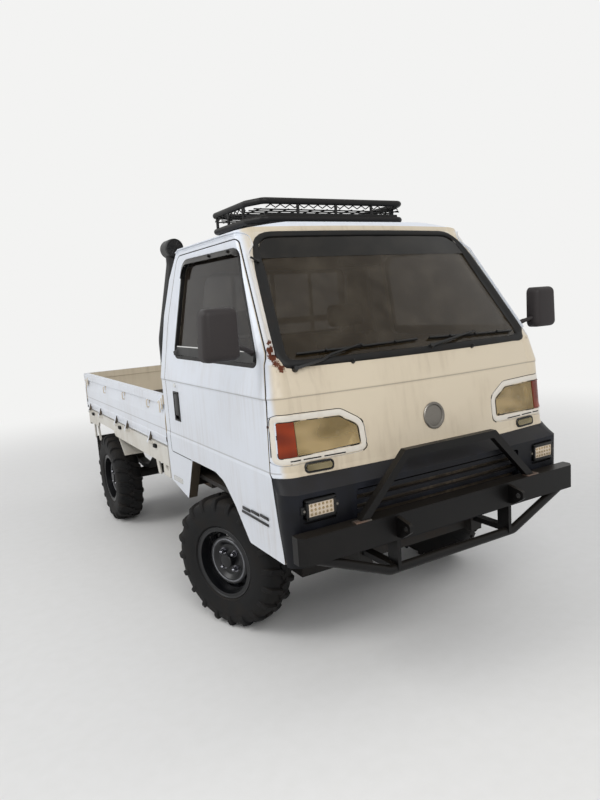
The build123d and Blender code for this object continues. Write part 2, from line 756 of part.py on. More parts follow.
Leg = namedtuple("Leg", "points x0 x1")
REAR_ARCH = [(1604, 600), (1618, 654), (1668, 693), (2082, 693), (2112, 660), (2118, 600)]
REAR_ARCH_RADII = [5, 20, 30, 30, 20, 5]
SPLASH_OUTLINE = [(1586, 720), (1592, 720), (1592, 662), (1456, 544), (1450, 550), (1586, 668)]
SPLASH_PLATE = Leg(SPLASH_OUTLINE, 540, LEG_X1)
REAR_LEG = Leg([(2186, 740), (2222, 740), (2222, 690), (2160, 540), (2138, 540), (2186, 690)], LEG_X0, LEG_X1)
FRONT_LEG = Leg([(772, 740), (838, 740), (838, 700), (782, 562), (742, 562), (772, 700)], 668, 676)


def bed_floor():
    """Ribbed load floor with side rails, a rear sill and the skirt behind the cab."""
    top, low = BED_FLOOR_Z, BED_FLOOR_Z - BED_FLOOR_T
    floor = box(-640, 640, BED_FRONT, BED_REAR - GATE_GAP, low, top)
    for k in range(12):
        x = -605 + 110 * k
        floor -= box(x - 12, x + 12, BED_FRONT + 60, BED_REAR - 60, top - 6, top + 1)
    for y in (BED_FRONT + 60, BED_REAR - 84):
        floor -= box(-617, 617, y, y + 24, top - 6, top + 1)
    rail = box(640, HALF_W, BED_FRONT, BED_REAR - GATE_GAP, RAIL_LOW, top + 8)
    rail -= box(660, HALF_W - 12, BED_FRONT + 10, BED_REAR - 20, RAIL_LOW - 1, top - 10)
    lip = box(HALF_W - LIP_T, HALF_W, BED_FRONT, BED_REAR - GATE_GAP, LIP_LOW, top - 10)
    lip -= along_x(outline(REAR_ARCH, REAR_ARCH_RADII), 600, 760)
    rail += lip
    for leg in (SPLASH_PLATE, REAR_LEG, FRONT_LEG):
        rail += along_x(outline(leg.points), leg.x0, leg.x1)
    rail += box(540, LEG_X1, 2284, 2296, FLAP_Z, FLAP_Z + 12) + box(LEG_X0, LEG_X1, 2284, 2306, FLAP_Z, top)
    floor += both(rail)
    skirt = box(676, HALF_W, BED_FRONT - 2, 610, 592, RAIL_LOW)
    skirt -= along_x(outline([(530, 620), (575, 640), (575, 672), (530, 672)], 8), 600, 760)
    floor += both(skirt)
    sill = box(-HALF_W, HALF_W, BED_REAR - 40, BED_REAR - GATE_GAP, 640, low + 10)
    floor += sill
    for y in HINGE_YS:
        floor += both(hinge_lug(y))
    for x in HINGE_XS:
        floor += rear_lug(x)
    return floor - cyl_z(SNORKEL_X, SNORKEL_Y, 600, 900, SNORKEL_R + SEAT)


HINGE_YS = [760, 1240, 1500, 1950, 2280]
HINGE_XS = [-560, 0, 560]
LUG_W = 18
LUG_GAP = 0.4


def hinge_lug(y):
    """Ear on the left rail that holds the side gate's pin."""
    ear = box(HALF_W - 8, GATE_PIN_X, y, y + LUG_W, GATE_PIN_Z - GATE_PIN_R, GATE_PIN_Z + GATE_PIN_R - 3)
    ear += Pos(GATE_PIN_X, y + LUG_W, GATE_PIN_Z) * extrude(Plane.XZ * Circle(GATE_PIN_R), LUG_W)
    return ear


def rear_lug(x):
    y = BED_REAR + GATE_T + GATE_PIN_OUT
    ear = box(x, x + LUG_W, BED_REAR - GATE_GAP - 8, y, GATE_PIN_Z - GATE_PIN_R, GATE_PIN_Z + GATE_PIN_R - 3)
    return ear + cyl_x(x, x + LUG_W, y, GATE_PIN_Z, GATE_PIN_R)


def gate_section(outer):
    """Rolled section of a gate, as (distance out, height): proud top rail, sloping band, flat and foot."""
    inner = outer - GATE_T
    return [
        (inner, GATE_LOW),
        (inner, GATE_LOW + 40),
        (inner + 5, GATE_LOW + 48),
        (inner + 5, GATE_TOP - 52),
        (inner, GATE_TOP - 44),
        (inner, GATE_TOP),
        (outer, GATE_TOP),
        (outer, GATE_TOP - 46),
        (outer - 12, GATE_TOP - 52),
        (outer - 3, GATE_LOW + 143),
        (outer - 3, GATE_LOW + 48),
        (outer, GATE_LOW + 42),
        (outer, GATE_LOW + 22),
        (outer - 4, GATE_LOW + 18),
        (outer - 4, GATE_LOW),
    ]


def side_gate():
    """Left drop side, one rolled section with its hinge straps."""
    y0, y1 = BED_FRONT + GATE_GAP, BED_REAR - GATE_GAP
    skin = along_y(outline(gate_section(HALF_W)), y0, y1)
    for y in HINGE_YS:
        skin += gate_knuckle(y)
    return skin


def gate_knuckle(y):
    """Strap on the gate that curls round its pin beside the rail's ear."""
    knuckle_y = y + LUG_W + LUG_GAP
    strap = along_y(
        outline(
            [
                (HALF_W - 8, GATE_LOW + 2),
                (HALF_W - 8, GATE_LOW + 40),
                (HALF_W + 4, GATE_LOW + 40),
                (GATE_PIN_X + 6, GATE_PIN_Z + 4),
                (GATE_PIN_X - 4, GATE_PIN_Z - 4),
                (HALF_W + 3, BED_FLOOR_Z + 12),
            ]
        ),
        knuckle_y,
        knuckle_y + LUG_W,
    )
    pin = Pos(GATE_PIN_X, knuckle_y + LUG_W, GATE_PIN_Z) * extrude(Plane.XZ * Circle(GATE_PIN_R), LUG_W)
    return strap + pin


def tail_gate():
    """Tailgate over the bed's full width, hinged like the sides."""
    y = BED_REAR
    skin = along_x(outline(gate_section(y + GATE_T)), -HALF_W, HALF_W)
    pin_y = y + GATE_T + GATE_PIN_OUT
    for x in HINGE_XS:
        x0 = x + LUG_W + LUG_GAP
        strap = along_x(
            outline(
                [
                    (y + GATE_T - 8, GATE_LOW + 2),
                    (y + GATE_T - 8, GATE_LOW + 40),
                    (y + GATE_T + 4, GATE_LOW + 40),
                    (pin_y + 6, GATE_PIN_Z + 4),
                    (pin_y - 4, GATE_PIN_Z - 4),
                    (y + GATE_T + 3, BED_FLOOR_Z + 12),
                ]
            ),
            x0,
            x0 + LUG_W,
        )
        skin += strap + cyl_x(x0, x0 + LUG_W, pin_y, GATE_PIN_Z, GATE_PIN_R)
    return skin


def headboard():
    """Front wall of the bed with the ladder frame that guards the rear window."""
    y0 = BED_FRONT
    wall = box(-HALF_W + GATE_T + GATE_GAP, HALF_W - GATE_T - GATE_GAP, y0, y0 + 22, BED_FLOOR_Z, GATE_TOP)
    wall -= box(-600, 600, y0 + 8, y0 + 30, BED_FLOOR_Z + 40, GATE_TOP - 35)
    wall -= both(box(640, HALF_W, y0 - 1, y0 + 30, BED_FLOOR_Z - 1, BED_FLOOR_Z + 8))
    post = both(box(440, 476, y0 + 22, y0 + 48, BED_FLOOR_Z, 1640))
    wall += post
    for z in (1080, 1330, 1604):
        wall += box(-476, 476, y0 + 22, y0 + 48, z, z + 36)
    for x in (-240, 0, 240):
        wall += box(x - 9, x + 9, y0 + 28, y0 + 42, 1100, 1620)
    return wall


def tail_lamps():
    lamp = fillet(box(540, 690, BED_REAR - GATE_GAP, BED_REAR + 24, 640, 700).edges().filter_by(Axis.Y), 6)
    return Compound(children=[lamp, mirrored(lamp)])


def fuel_tank():
    tank = box(RAIL_OUT, 620, 640, 1120, 400, 618)
    tank = fillet(tank.edges().filter_by(Axis.Y), 35)
    return tank + box(RAIL_OUT, 560, 700, 730, 560, 640) + box(RAIL_OUT, 560, 1030, 1060, 560, 640)


def engine_block():
    sump_to_head = box(-235, 235, 1140, 1640, 300, 560)
    bearer = box(-RAIL_IN, RAIL_IN, 1200, 1250, 575, 625) + box(-230, 230, 1200, 1250, 540, 580)
    return sump_to_head + bearer


def driveline():
    """Gearbox, front propeller shaft, front differential and its half shafts."""
    gearbox = box(-110, 110, 1640, 1790, 300, 470)
    shaft = cyl_y(0, 70, 1140, 350, 24)
    diff = cyl_x(-90, 90, 0, TYRE_R, 70) + cyl_y(0, 0, 120, 330, 46)
    half_shaft = cyl_x(80, 470, 0, TYRE_R, 13) + cyl_x(455, 505, 0, TYRE_R, 32)
    carrier = box(-60, 60, 60, 110, 220, 330)
    return gearbox + shaft + diff + both(half_shaft) + carrier


def exhaust():
    can = cyl_x(-240, 240, 2160, 440, 78)
    tail = pipe([(215, 2160, 440), (300, 2180, 440), (300, 2380, 430)], 30, 17)
    bracket = box(-230, 230, 2150, 2170, 505, 520) + both(box(218, RAIL_IN, 2150, 2170, 505, 620))
    return can + tail + bracket


LEAF_OUT = 456


def rear_axle():
    """Live axle with its differential, drums and leaf springs."""
    y = WHEELBASE
    face = REAR_TRACK_HALF + DISC_OUT
    axle = cyl_x(-face + 70, face - 70, y, TYRE_R, 36)
    axle += cyl_y(0, y - 70, y + 80, TYRE_R, 110)
    drum = cyl_x(face - 78, face - RUN, y, TYRE_R, 108)
    drum += cyl_x(face - RUN, face + 34, y, TYRE_R, RIM_BORE_R - RUN)
    axle += both(drum)
    lower = [(-440, 545), (-120, 352), (0, 341), (120, 352), (440, 545)]
    upper = [(440, 575), (130, 382), (0, 371), (-130, 382), (-440, 575)]
    spring = along_x(outline([(y + dy, z) for dy, z in lower + upper]), 400, LEAF_OUT)
    hanger = box(RAIL_OUT, LEAF_OUT, y - 450, y - 430, 535, 640)
    hanger += box(RAIL_OUT, LEAF_OUT, y + 430, y + 450, 535, 640)
    axle += both(spring + hanger)
    return axle


def wipers():
    """Two wipers parked along the foot of the windscreen."""
    right_blade = outline([(-520, 1262), (-20, 1275), (-20, 1288), (-520, 1275)])
    left_blade = outline([(70, 1275), (520, 1262), (520, 1275), (70, 1288)])
    blade_zone = right_blade + left_blade
    blades = (cab_solid(-14) - cab_solid(GLASS_INSET - SEAT)) & along_y(blade_zone, -900, -400)
    right_arm = outline([(-585, 1205), (-571, 1195), (-270, 1276), (-270, 1284)])
    left_arm = outline([(18, 1215), (36, 1205), (300, 1274), (300, 1282)])
    arm_zone = right_arm + left_arm
    arms = (cab_solid(-24) - cab_solid(0)) & along_y(arm_zone, -900, -400)
    return blades + arms


def move_into_place(shape):
    return Pos(0, (FRONT_REACH - REAR_REACH) / 2, 0) * shape


def write(name, shape):
    export_step(move_into_place(shape), f"parts/{name}.step")


def main():
    os.makedirs("parts", exist_ok=True)
    cab = cab_nodes()
    panel, glass, mirror_right = door_nodes(cab)
    nodes = {k: v for k, v in cab.items() if k not in ("door", "pane")}
    for name, shape in (("door_panel", panel), ("door_glass", glass), ("door_mirror", mirror_right)):
        nodes[name + "_right"] = shape
        nodes[name + "_left"] = mirrored(shape)
    nodes["chassis_frame"] = chassis_frame()
    nodes["cab_floor"] = cab_floor()
    nodes["front_bumper"] = front_bumper()
    nodes["steel_bumper"] = steel_bumper()
    nodes["small_lamps"] = small_lamps()
    nodes["dashboard"] = dashboard()
    nodes["seats"] = seats()
    nodes["steering_column"] = steering_column()
    nodes["steering_wheel"] = steering_wheel()
    nodes["roof_basket"] = roof_basket(roof_solid())
    nodes["snorkel"] = snorkel()
    nodes["bed_floor"] = bed_floor()
    nodes["bed_headboard"] = headboard()
    nodes["side_gate_left"] = side_gate()
    nodes["side_gate_right"] = mirrored(nodes["side_gate_left"])
    nodes["tail_gate"] = tail_gate()
    nodes["tail_lamps"] = tail_lamps()
    nodes["fuel_tank"] = fuel_tank()
    nodes["engine_block"] = engine_block()
    nodes["driveline"] = driveline()
    nodes["exhaust"] = exhaust()
    nodes["rear_axle"] = rear_axle()
    nodes["front_suspension"] = front_suspension()
    nodes["wipers"] = wipers()
    nodes["tie_rod"] = tie_rod()
    for label, side in (("right", -1), ("left", 1)):
        nodes["knuckle_" + label] = turned(knuckle(side), side)
        front_x = side * (KINGPIN_X + KINGPIN_OFFSET)
        nodes["front_tyre_" + label] = turned(tyre(front_x, 0, side), side)
        nodes["front_rim_" + label] = turned(rim(front_x, 0, side), side)
        nodes["rear_tyre_" + label] = tyre(side * REAR_TRACK_HALF, WHEELBASE, side)
        nodes["rear_rim_" + label] = rim(side * REAR_TRACK_HALF, WHEELBASE, side)
    for name, shape in nodes.items():
        write(name, shape)


main()
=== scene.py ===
# %% [markdown]
# # A small cab-over pickup, dressed over its CAD frame
#
# The truck's panels, wheels and frame come from the CAD model. This script gives them their finishes and adds
# what a body shop and a trimmer would fit: rubber seals, lamps, wheel nuts, hooks, wipers and cloth seats. It
# loads the frame first, because every later size is read from it or set beside it.

# %% Load the frame
from math import cos, pi, radians, sin, tan

import bmesh
import bpy
from mathutils import Matrix, Vector
from mathutils.bvhtree import BVHTree


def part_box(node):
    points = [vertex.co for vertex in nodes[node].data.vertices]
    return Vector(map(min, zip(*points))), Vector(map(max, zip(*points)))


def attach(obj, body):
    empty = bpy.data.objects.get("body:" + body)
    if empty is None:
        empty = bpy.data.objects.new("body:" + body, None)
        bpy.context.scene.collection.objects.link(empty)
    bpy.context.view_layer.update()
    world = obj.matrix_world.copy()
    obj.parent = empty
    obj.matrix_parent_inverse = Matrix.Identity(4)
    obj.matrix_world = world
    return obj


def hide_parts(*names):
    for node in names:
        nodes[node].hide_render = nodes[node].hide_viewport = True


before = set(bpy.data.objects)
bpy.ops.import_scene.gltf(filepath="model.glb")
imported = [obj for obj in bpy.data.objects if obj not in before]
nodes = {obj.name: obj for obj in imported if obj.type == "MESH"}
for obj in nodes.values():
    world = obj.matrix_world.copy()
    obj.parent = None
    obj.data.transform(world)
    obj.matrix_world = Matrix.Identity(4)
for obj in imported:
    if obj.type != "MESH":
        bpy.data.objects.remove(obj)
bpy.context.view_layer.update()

# %% [markdown]
# ## Places
#
# A truck's drawings count from the front axle, so this script does too: `place` takes millimetres from the
# front axle's middle on the ground, as a workshop would, and gives the frame's metres. The axle's own place
# is read from the rear tyre's box and the wheelbase.

# %% One function for places
WHEELBASE = 1.905
low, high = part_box("rear_tyre_left")
FRONT_AXLE_Y = (low.y + high.y) / 2 - WHEELBASE


def place(x, y, z):
    return Vector((x / 1000, y / 1000 + FRONT_AXLE_Y, z / 1000))


print("the front axle stands at y =", round(FRONT_AXLE_Y, 4))

# %% [markdown]
# ## The camera
#
# The view is from off the truck's right front corner, at a standing eye's height and with a small tilt. The
# place and turn below were solved from mirrored pairs of points on the truck, such as the two lamps, so the
# view matches without guessing. The lens is a phone's wide one, about 28 mm on a full frame.

# %% Camera
camera_data = bpy.data.cameras.new("phone")
camera_data.sensor_fit = "VERTICAL"
camera_data.sensor_height = 36
camera_data.lens = 28.35
camera = bpy.data.objects.new("phone", camera_data)
bpy.context.scene.collection.objects.link(camera)
azimuth, elevation, roll = radians(29.66), radians(-8.52), radians(-3.94)
ahead = Vector((sin(azimuth) * cos(elevation), cos(azimuth) * cos(elevation), sin(elevation)))
level = ahead.cross(Vector((0, 0, 1))).normalized()
right = level * cos(roll) + level.cross(ahead) * sin(roll)
up = right.cross(ahead)
camera.matrix_world = Matrix((right, up, -ahead)).transposed().to_4x4()
camera.location = place(-1663, -2591, 1428)
bpy.context.scene.camera = camera
print("the camera looks along", [round(v, 3) for v in ahead])

# %% [markdown]
# ## Colour and nodes
#
# Hex values are what a paint chart or a picture editor shows, but Blender mixes light in linear values, so
# one function turns one into the other. A second small function adds a shader node with its settings and its
# inputs: a plain value is set, and a node or a socket is linked. A pattern's scale is how often it repeats in
# a metre, so it is worked out from a real size in millimetres.

# %% Helpers for materials


def linear(code):
    channels = [int(code[i : i + 2], 16) / 255 for i in (1, 3, 5)]
    return [c / 12.92 if c <= 0.04045 else ((c + 0.055) / 1.055) ** 2.4 for c in channels] + [1]


def add(tree, kind, inputs=None, **settings):
    node = tree.nodes.new("ShaderNode" + kind)
    for name, value in settings.items():
        setattr(node, name, value)
    sockets = [s for s in node.inputs if s.enabled]
    for key, value in (inputs or {}).items():
        socket = sockets[key] if isinstance(key, int) else next(s for s in sockets if s.name == key)
        if isinstance(value, bpy.types.Node):
            value = next(s for s in value.outputs if s.enabled)
        if isinstance(value, bpy.types.NodeSocket):
            tree.links.new(value, socket)
        else:
            socket.default_value = value
    return node


def surface(name):
    """An empty material, with its tree and the coordinates that its patterns read."""
    material = bpy.data.materials.new(name)
    material.use_nodes = True
    tree = material.node_tree
    tree.nodes.clear()
    return material, tree, add(tree, "TexCoord").outputs["Object"]


def per_metre(millimetres):
    return 1000 / millimetres


print("mid grey is", [round(v, 3) for v in linear("#808080")])

# %% [markdown]
# ## The body's paint
#
# Kei trucks leave the works in a plain white baked enamel on pressed steel. Here the base is a cool white, partly
# painted light for cool sky light on the sides. After thirty years the nose, which meets the weather, has turned a
# warm sand colour, partly from chalking and partly painted light for warm light thrown up onto it. The tint
# follows the panel as it turns the corner, so it is mixed in by how squarely the surface faces forward, and
# forward faces also take more dust, partly painted shade. Below the bumper's top edge the forward faces of the
# same sheet are painted near-black: painted shade for the dark recess behind the bumper. Dust settles low down,
# faint runs hang below the seams, and rust lifts the paint at the windscreen's lower corners and along the gutter.
# Noise at real sizes gives those: hand-wide clouds of dirt, finger-wide runs stretched upright, and specks of
# stone chip. Thin dark lines of painted shade follow the crease and the lower fold. A very low, wide bump keeps
# the big panels from looking like plate glass, because pressed sheet is never quite flat.

# %% White enamel
BUMPER_TOP = 0.828
CREASE_Z = 1.11
FOLD_Z = 0.847
# The colour of the painted shade lines along the crease and the fold
LINE_SHADE = "#655c53"
# How far noise pushes a rust spot's edge in or out, as a share of the spot's reach
TORN = 0.36
RUST_SPOTS = [
    # x, y, z in millimetres from the front axle, and how far the rust reaches
    (-622, -636, 1208, 31),
    (-634, -628, 1226, 31),
    (-637, -616, 1250, 30),
    (-636, -602, 1278, 26),
    (-631, -590, 1304, 18),
    (-570, -690, 1206, 16),
    (-672, -626, 1256, 13),
    (-669, -606, 1284, 14),
    (-665, -584, 1316, 14),
    (-661, -562, 1348, 11),
    (630, -636, 1214, 16),
    (30, -735, 1214, 14),
    (-690, -640, 1012, 10),
    (-640, -700, 884, 12),
]


def enamel(name, base, dusty, dirt, chalk_and_warm_light=None, rusty=False):
    """Baked enamel: its colour, its dust and how much of it, the nose's warm tint of chalk and painted warm light,
    and rust or none."""
    material, tree, where = surface(name)
    height = add(tree, "SeparateXYZ", {"Vector": where}).outputs["Z"]
    paint, nose_dirt_and_shade = linear(base), 1.0
    # Partly painted light: forward faces turn from the cool base to a warm sand tint, for warm light on the nose
    # as well as its chalking
    if chalk_and_warm_light:
        turned_to = add(tree, "SeparateXYZ", {"Vector": add(tree, "TexCoord").outputs["Normal"]}).outputs["Y"]
        forward = {"Value": turned_to, "From Min": -0.62, "From Max": -0.86}
        facing = add(tree, "MapRange", forward, interpolation_type="SMOOTHSTEP")
        paint = add(tree, "Mix", {"Factor": facing, "A": paint, "B": linear(chalk_and_warm_light)}, data_type="RGBA")
        # Painted shade: below the bumper's top, forward faces are painted near-black for the dark recess behind
        # the bumper
        below = add(
            tree, "MapRange", {"Value": height, "From Min": BUMPER_TOP + 0.002, "From Max": BUMPER_TOP}
        )
        painted_shade_below_bumper = add(tree, "Math", {0: below, 1: facing}, operation="MULTIPLY")
        # Forward faces take more dust, which is partly painted shade on the nose
        nose_dirt_and_shade = add(tree, "MapRange", {"Value": facing, "To Min": 0.8, "To Max": 1.6})
        paint = add(tree, "Mix", {"Factor": painted_shade_below_bumper, "A": paint, "B": linear("#100f0e")}, data_type="RGBA")
    clouds = add(tree, "TexNoise", {"Vector": where, "Scale": per_metre(260), "Detail": 5})
    cloudy = add(tree, "MapRange", {"Value": clouds, "From Min": 0.4, "From Max": 0.75})
    upright = add(tree, "Mapping", {"Vector": where, "Scale": (1, 1, 0.05)})
    runs = add(tree, "TexNoise", {"Vector": upright, "Scale": per_metre(24), "Detail": 3})
    streaky = add(tree, "MapRange", {"Value": runs, "From Min": 0.45, "From Max": 0.72, "To Min": 0.25})
    low_down = add(tree, "MapRange", {"Value": height, "From Min": 1.15, "From Max": 0.5, "To Max": 0.3})
    patches = add(tree, "Math", {0: cloudy, 1: streaky}, operation="MULTIPLY")
    settled = add(tree, "Math", {0: patches, 1: low_down}, operation="ADD")
    stained = add(tree, "Math", {0: settled, 1: nose_dirt_and_shade}, operation="MULTIPLY")
    dust = add(tree, "Math", {0: stained, 1: dirt}, operation="MULTIPLY", use_clamp=True)
    colour = add(tree, "Mix", {"Factor": dust, "A": paint, "B": linear(dusty)}, data_type="RGBA")
    if chalk_and_warm_light:
        # Painted shade: a thin dark line runs along the crease round the whole cab, and along the lower fold only
        # on its sides
        sideways = add(tree, "MapRange", {"Value": facing, "From Min": 0.3, "From Max": 0.05})
        for level, edge, core, depth, shown in (
            (CREASE_Z, 0.0032, 0.0012, 0.5, 1.0),
            (FOLD_Z, 0.0036, 0.0014, 0.45, sideways),
        ):
            above = add(tree, "Math", {0: height, 1: level}, operation="SUBTRACT")
            away = add(tree, "Math", {0: above}, operation="ABSOLUTE")
            line = add(tree, "MapRange", {"Value": away, "From Min": edge, "From Max": core, "To Max": depth})
            line = add(tree, "Math", {0: line, 1: shown}, operation="MULTIPLY")
            colour = add(
                tree, "Mix", {"Factor": line, "A": colour, "B": linear(LINE_SHADE)}, data_type="RGBA"
            )
    chips = add(tree, "TexNoise", {"Vector": where, "Scale": per_metre(11), "Detail": 2})
    chipped = add(tree, "MapRange", {"Value": chips, "From Min": 0.79, "From Max": 0.82, "To Max": 0.55})
    colour = add(tree, "Mix", {"Factor": chipped, "A": colour, "B": linear("#5a4334")}, data_type="RGBA")
    rough = add(tree, "MapRange", {"Value": dust, "From Max": 0.6, "To Min": 0.3, "To Max": 0.6})
    if rusty:
        ragged = add(
            tree, "TexNoise", {"Vector": where, "Scale": per_metre(16), "Detail": 7, "Roughness": 0.75}
        )
        tears = {"Value": ragged, "From Min": 0.3, "From Max": 0.7, "To Min": -TORN, "To Max": TORN}
        torn = add(tree, "MapRange", tears)
        rust = 0.0
        for x, y, z, reach in RUST_SPOTS:
            away = add(tree, "VectorMath", {0: where, 1: place(x, y, z)}, operation="DISTANCE").outputs["Value"]
            near = add(tree, "MapRange", {"Value": away, "From Min": reach / 1000, "From Max": 0.0})
            spot = add(tree, "Math", {0: near, 1: torn}, operation="ADD")
            spot = add(tree, "MapRange", {"Value": spot, "From Min": 0.34, "From Max": 0.5})
            rust = add(tree, "Math", {0: spot, 1: rust}, operation="MAXIMUM")
        tones = {"Factor": ragged, "A": linear("#26120c"), "B": linear("#75391d")}
        scale = add(tree, "Mix", tones, data_type="RGBA")
        colour = add(tree, "Mix", {"Factor": rust, "A": colour, "B": scale}, data_type="RGBA")
        rough = add(tree, "Math", {0: rough, 1: rust}, operation="MAXIMUM", use_clamp=True)
    sheet = add(tree, "TexNoise", {"Vector": where, "Scale": per_metre(330), "Detail": 1})
    waves = add(tree, "Bump", {"Height": sheet, "Distance": 0.004, "Strength": 0.5})
    peel = add(tree, "TexNoise", {"Vector": where, "Scale": per_metre(4), "Detail": 1})
    skin_bump = add(tree, "Bump", {"Height": peel, "Distance": 0.00006, "Strength": 0.4, "Normal": waves})
    coat = {"Base Color": colour, "Roughness": rough, "Normal": skin_bump, "IOR": 1.5}
    add(tree, "OutputMaterial", {"Surface": add(tree, "BsdfPrincipled", coat)})
    return material


# The cab's cool bluish base is partly painted sky light, and its warm nose tint is partly painted warm light
cab_enamel = enamel("baked_white_enamel", "#d9dee6", "#a08e76", 0.4, chalk_and_warm_light="#d1c4ad", rusty=True)
bed_enamel = enamel("scuffed_white_enamel", "#d6d4cd", "#a2957f", 0.8)
surround_enamel = enamel("painted_lamp_surround", "#d9d3c8", "#a08e76", 0.4)
print("three enamels are mixed, and the cab's has", len(RUST_SPOTS), "rust spots")

# %% [markdown]
# ## Coated steel, rubber and moulded plastic
#
# The frame, the welded bumper and the basket are all black coatings on steel, but they age apart: brushed
# chassis paint goes dull and brown with road dust, the bumper's spray satin chalks on its top faces, and a
# powder coat keeps a fine pebble. The moulded bumper is a blue-black polypropylene with a leather grain a
# millimetre wide. One recipe fits them all: a colour, what it wears to, and a grain of a real size and depth.
# Grain under 2 mm is drawn as coarse as 2 mm, because a finer one would not show from where the camera
# stands.

# %% Coated and moulded finishes


def coated(
    name, base, worn, grain_mm, depth_mm, rough, metallic=0.0, wear=0.5, wear_mm=120, dusty=0.0, shine=0.35
):
    """A coating or moulding: its colour, what it wears to, a grain, dust on what faces up, and how it
    shines."""
    material, tree, where = surface(name)
    clouds = add(tree, "TexNoise", {"Vector": where, "Scale": per_metre(wear_mm), "Detail": 6})
    patches = add(tree, "MapRange", {"Value": clouds, "From Min": 0.45, "From Max": 0.75, "To Max": wear})
    colour = add(tree, "Mix", {"Factor": patches, "A": linear(base), "B": linear(worn)}, data_type="RGBA")
    facing = add(tree, "SeparateXYZ", {"Vector": add(tree, "NewGeometry").outputs["Normal"]}).outputs["Z"]
    upper = add(tree, "MapRange", {"Value": facing, "From Min": 0.4, "From Max": 1.0, "To Max": dusty})
    colour = add(tree, "Mix", {"Factor": upper, "A": colour, "B": linear("#857a6b")}, data_type="RGBA")
    dull = add(tree, "Math", {0: patches, 1: upper}, operation="MAXIMUM")
    spread = add(tree, "MapRange", {"Value": dull, "To Min": rough, "To Max": min(1.0, rough + 0.3)})
    grain = add(tree, "TexNoise", {"Vector": where, "Scale": per_metre(grain_mm), "Detail": 3})
    pebble = add(tree, "Bump", {"Height": grain, "Distance": depth_mm / 1000, "Strength": 0.6})
    coat = {"Base Color": colour, "Roughness": spread, "Normal": pebble, "Metallic": metallic}
    coat["Specular IOR Level"] = shine
    add(tree, "OutputMaterial", {"Surface": add(tree, "BsdfPrincipled", coat)})
    return material


chassis_paint = coated("brushed_chassis_paint", "#161412", "#352c25", 6, 0.3, 0.6, wear=0.6, dusty=0.12)
bar_satin = coated(
    "sprayed_satin_black", "#070606", "#1c1917", 3, 0.08, 0.4, wear=0.35, dusty=0.04, shine=0.22
)
powder_coat = coated("powder_coat", "#0f0e0e", "#232020", 2.5, 0.12, 0.45, wear=0.4, dusty=0.05, shine=0.25)
polypropylene = coated(
    "grained_polypropylene", "#0a0b10", "#1b1e27", 2, 0.12, 0.45, wear=0.7, dusty=0.06, shine=0.22
)
mirror_abs = coated("grained_grey_abs", "#2c2828", "#393433", 2, 0.1, 0.5, wear=0.4, shine=0.25)
trim_abs = coated("moulded_black_abs", "#0d0d0d", "#1d1c1b", 2, 0.08, 0.42, wear=0.3)
cabin_abs = coated("cabin_abs", "#312d29", "#443e37", 2, 0.1, 0.55, wear=0.3)
seal_rubber = coated("epdm_seal", "#0a0a0a", "#241f1b", 2.5, 0.1, 0.5, wear=0.5, wear_mm=50, shine=0.25)
casting = coated("sand_casting", "#3b3834", "#6a4c36", 3, 0.4, 0.75, metallic=0.5, wear=0.6)
bare_steel = coated("weathered_steel", "#6a6661", "#7a4d31", 3, 0.15, 0.5, metallic=0.8, wear=0.6)
wheel_paint = coated("baked_wheel_black", "#0b0c0f", "#191919", 3, 0.06, 0.3, wear=0.3, shine=0.4)
# Painted highlight as well as wear: this bright steel makes the ring on the wheel disc's crown
worn_and_highlight_steel = coated(
    "scuffed_rim_steel_painted_highlight", "#77787c", "#2b2b2d", 3, 0.05, 0.35, metallic=0.7, wear=0.7, wear_mm=30
)
# Tread rubber is carbon black in natural rubber, matt from its mould, with dry dirt in its lower places
tread_rubber = coated(
    "tread_rubber", "#0d0d0e", "#272320", 3, 0.18, 0.7, wear=0.6, wear_mm=70, dusty=0.05, shine=0.25
)
flap_rubber = coated("sheet_rubber", "#121212", "#2a2521", 4, 0.2, 0.7, wear=0.6, wear_mm=90, shine=0.25)
lamp_face = coated("work_lamp_cover", "#cdbeaa", "#a08d75", 5, 0.1, 0.3, wear=0.5, wear_mm=30)
number_tin = coated("blank_plate_enamel", "#d8d6cd", "#b5aa97", 5, 0.1, 0.4, wear=0.6)
decal_film = coated("cut_vinyl_film", "#0e0e0f", "#2c2b2a", 6, 0.02, 0.35, wear=0.4, wear_mm=20)

# %% [markdown]
# ## Bright metal, mirrors, glass and lenses
#
# Polished metal needs little more than its colour and a haze that varies. Glass and lens plastic are drawn with
# alpha rather than with refraction: a truck's panes are thin and nearly flat, so what shows is how dark they are
# and what they mirror. Alpha gives both without grain in the picture, and it survives the export.
# The screen's own pane is one thick solid with two faces, so light crosses its alpha twice. The panes' dark brown
# colour and high alpha are painted shade and painted reflection as well as tint: they stand for the shaded cab
# behind the glass and the warm things the glass mirrors.

# %% Bright and see-through finishes


def polished(name, colour, rough, haze_mm=30):
    material, tree, where = surface(name)
    film = add(tree, "TexNoise", {"Vector": where, "Scale": per_metre(haze_mm), "Detail": 5})
    haze = {"Value": film, "From Min": 0.3, "From Max": 0.8, "To Min": rough, "To Max": rough + 0.18}
    hazy = add(tree, "MapRange", haze)
    spots = add(tree, "MapRange", {"Value": film, "From Min": 0.66, "From Max": 0.8, "To Max": 0.5})
    tint = add(tree, "Mix", {"Factor": spots, "A": linear(colour), "B": linear("#6d675e")}, data_type="RGBA")
    metal = {"Base Color": tint, "Roughness": hazy, "Metallic": 1.0}
    add(tree, "OutputMaterial", {"Surface": add(tree, "BsdfPrincipled", metal)})
    return material


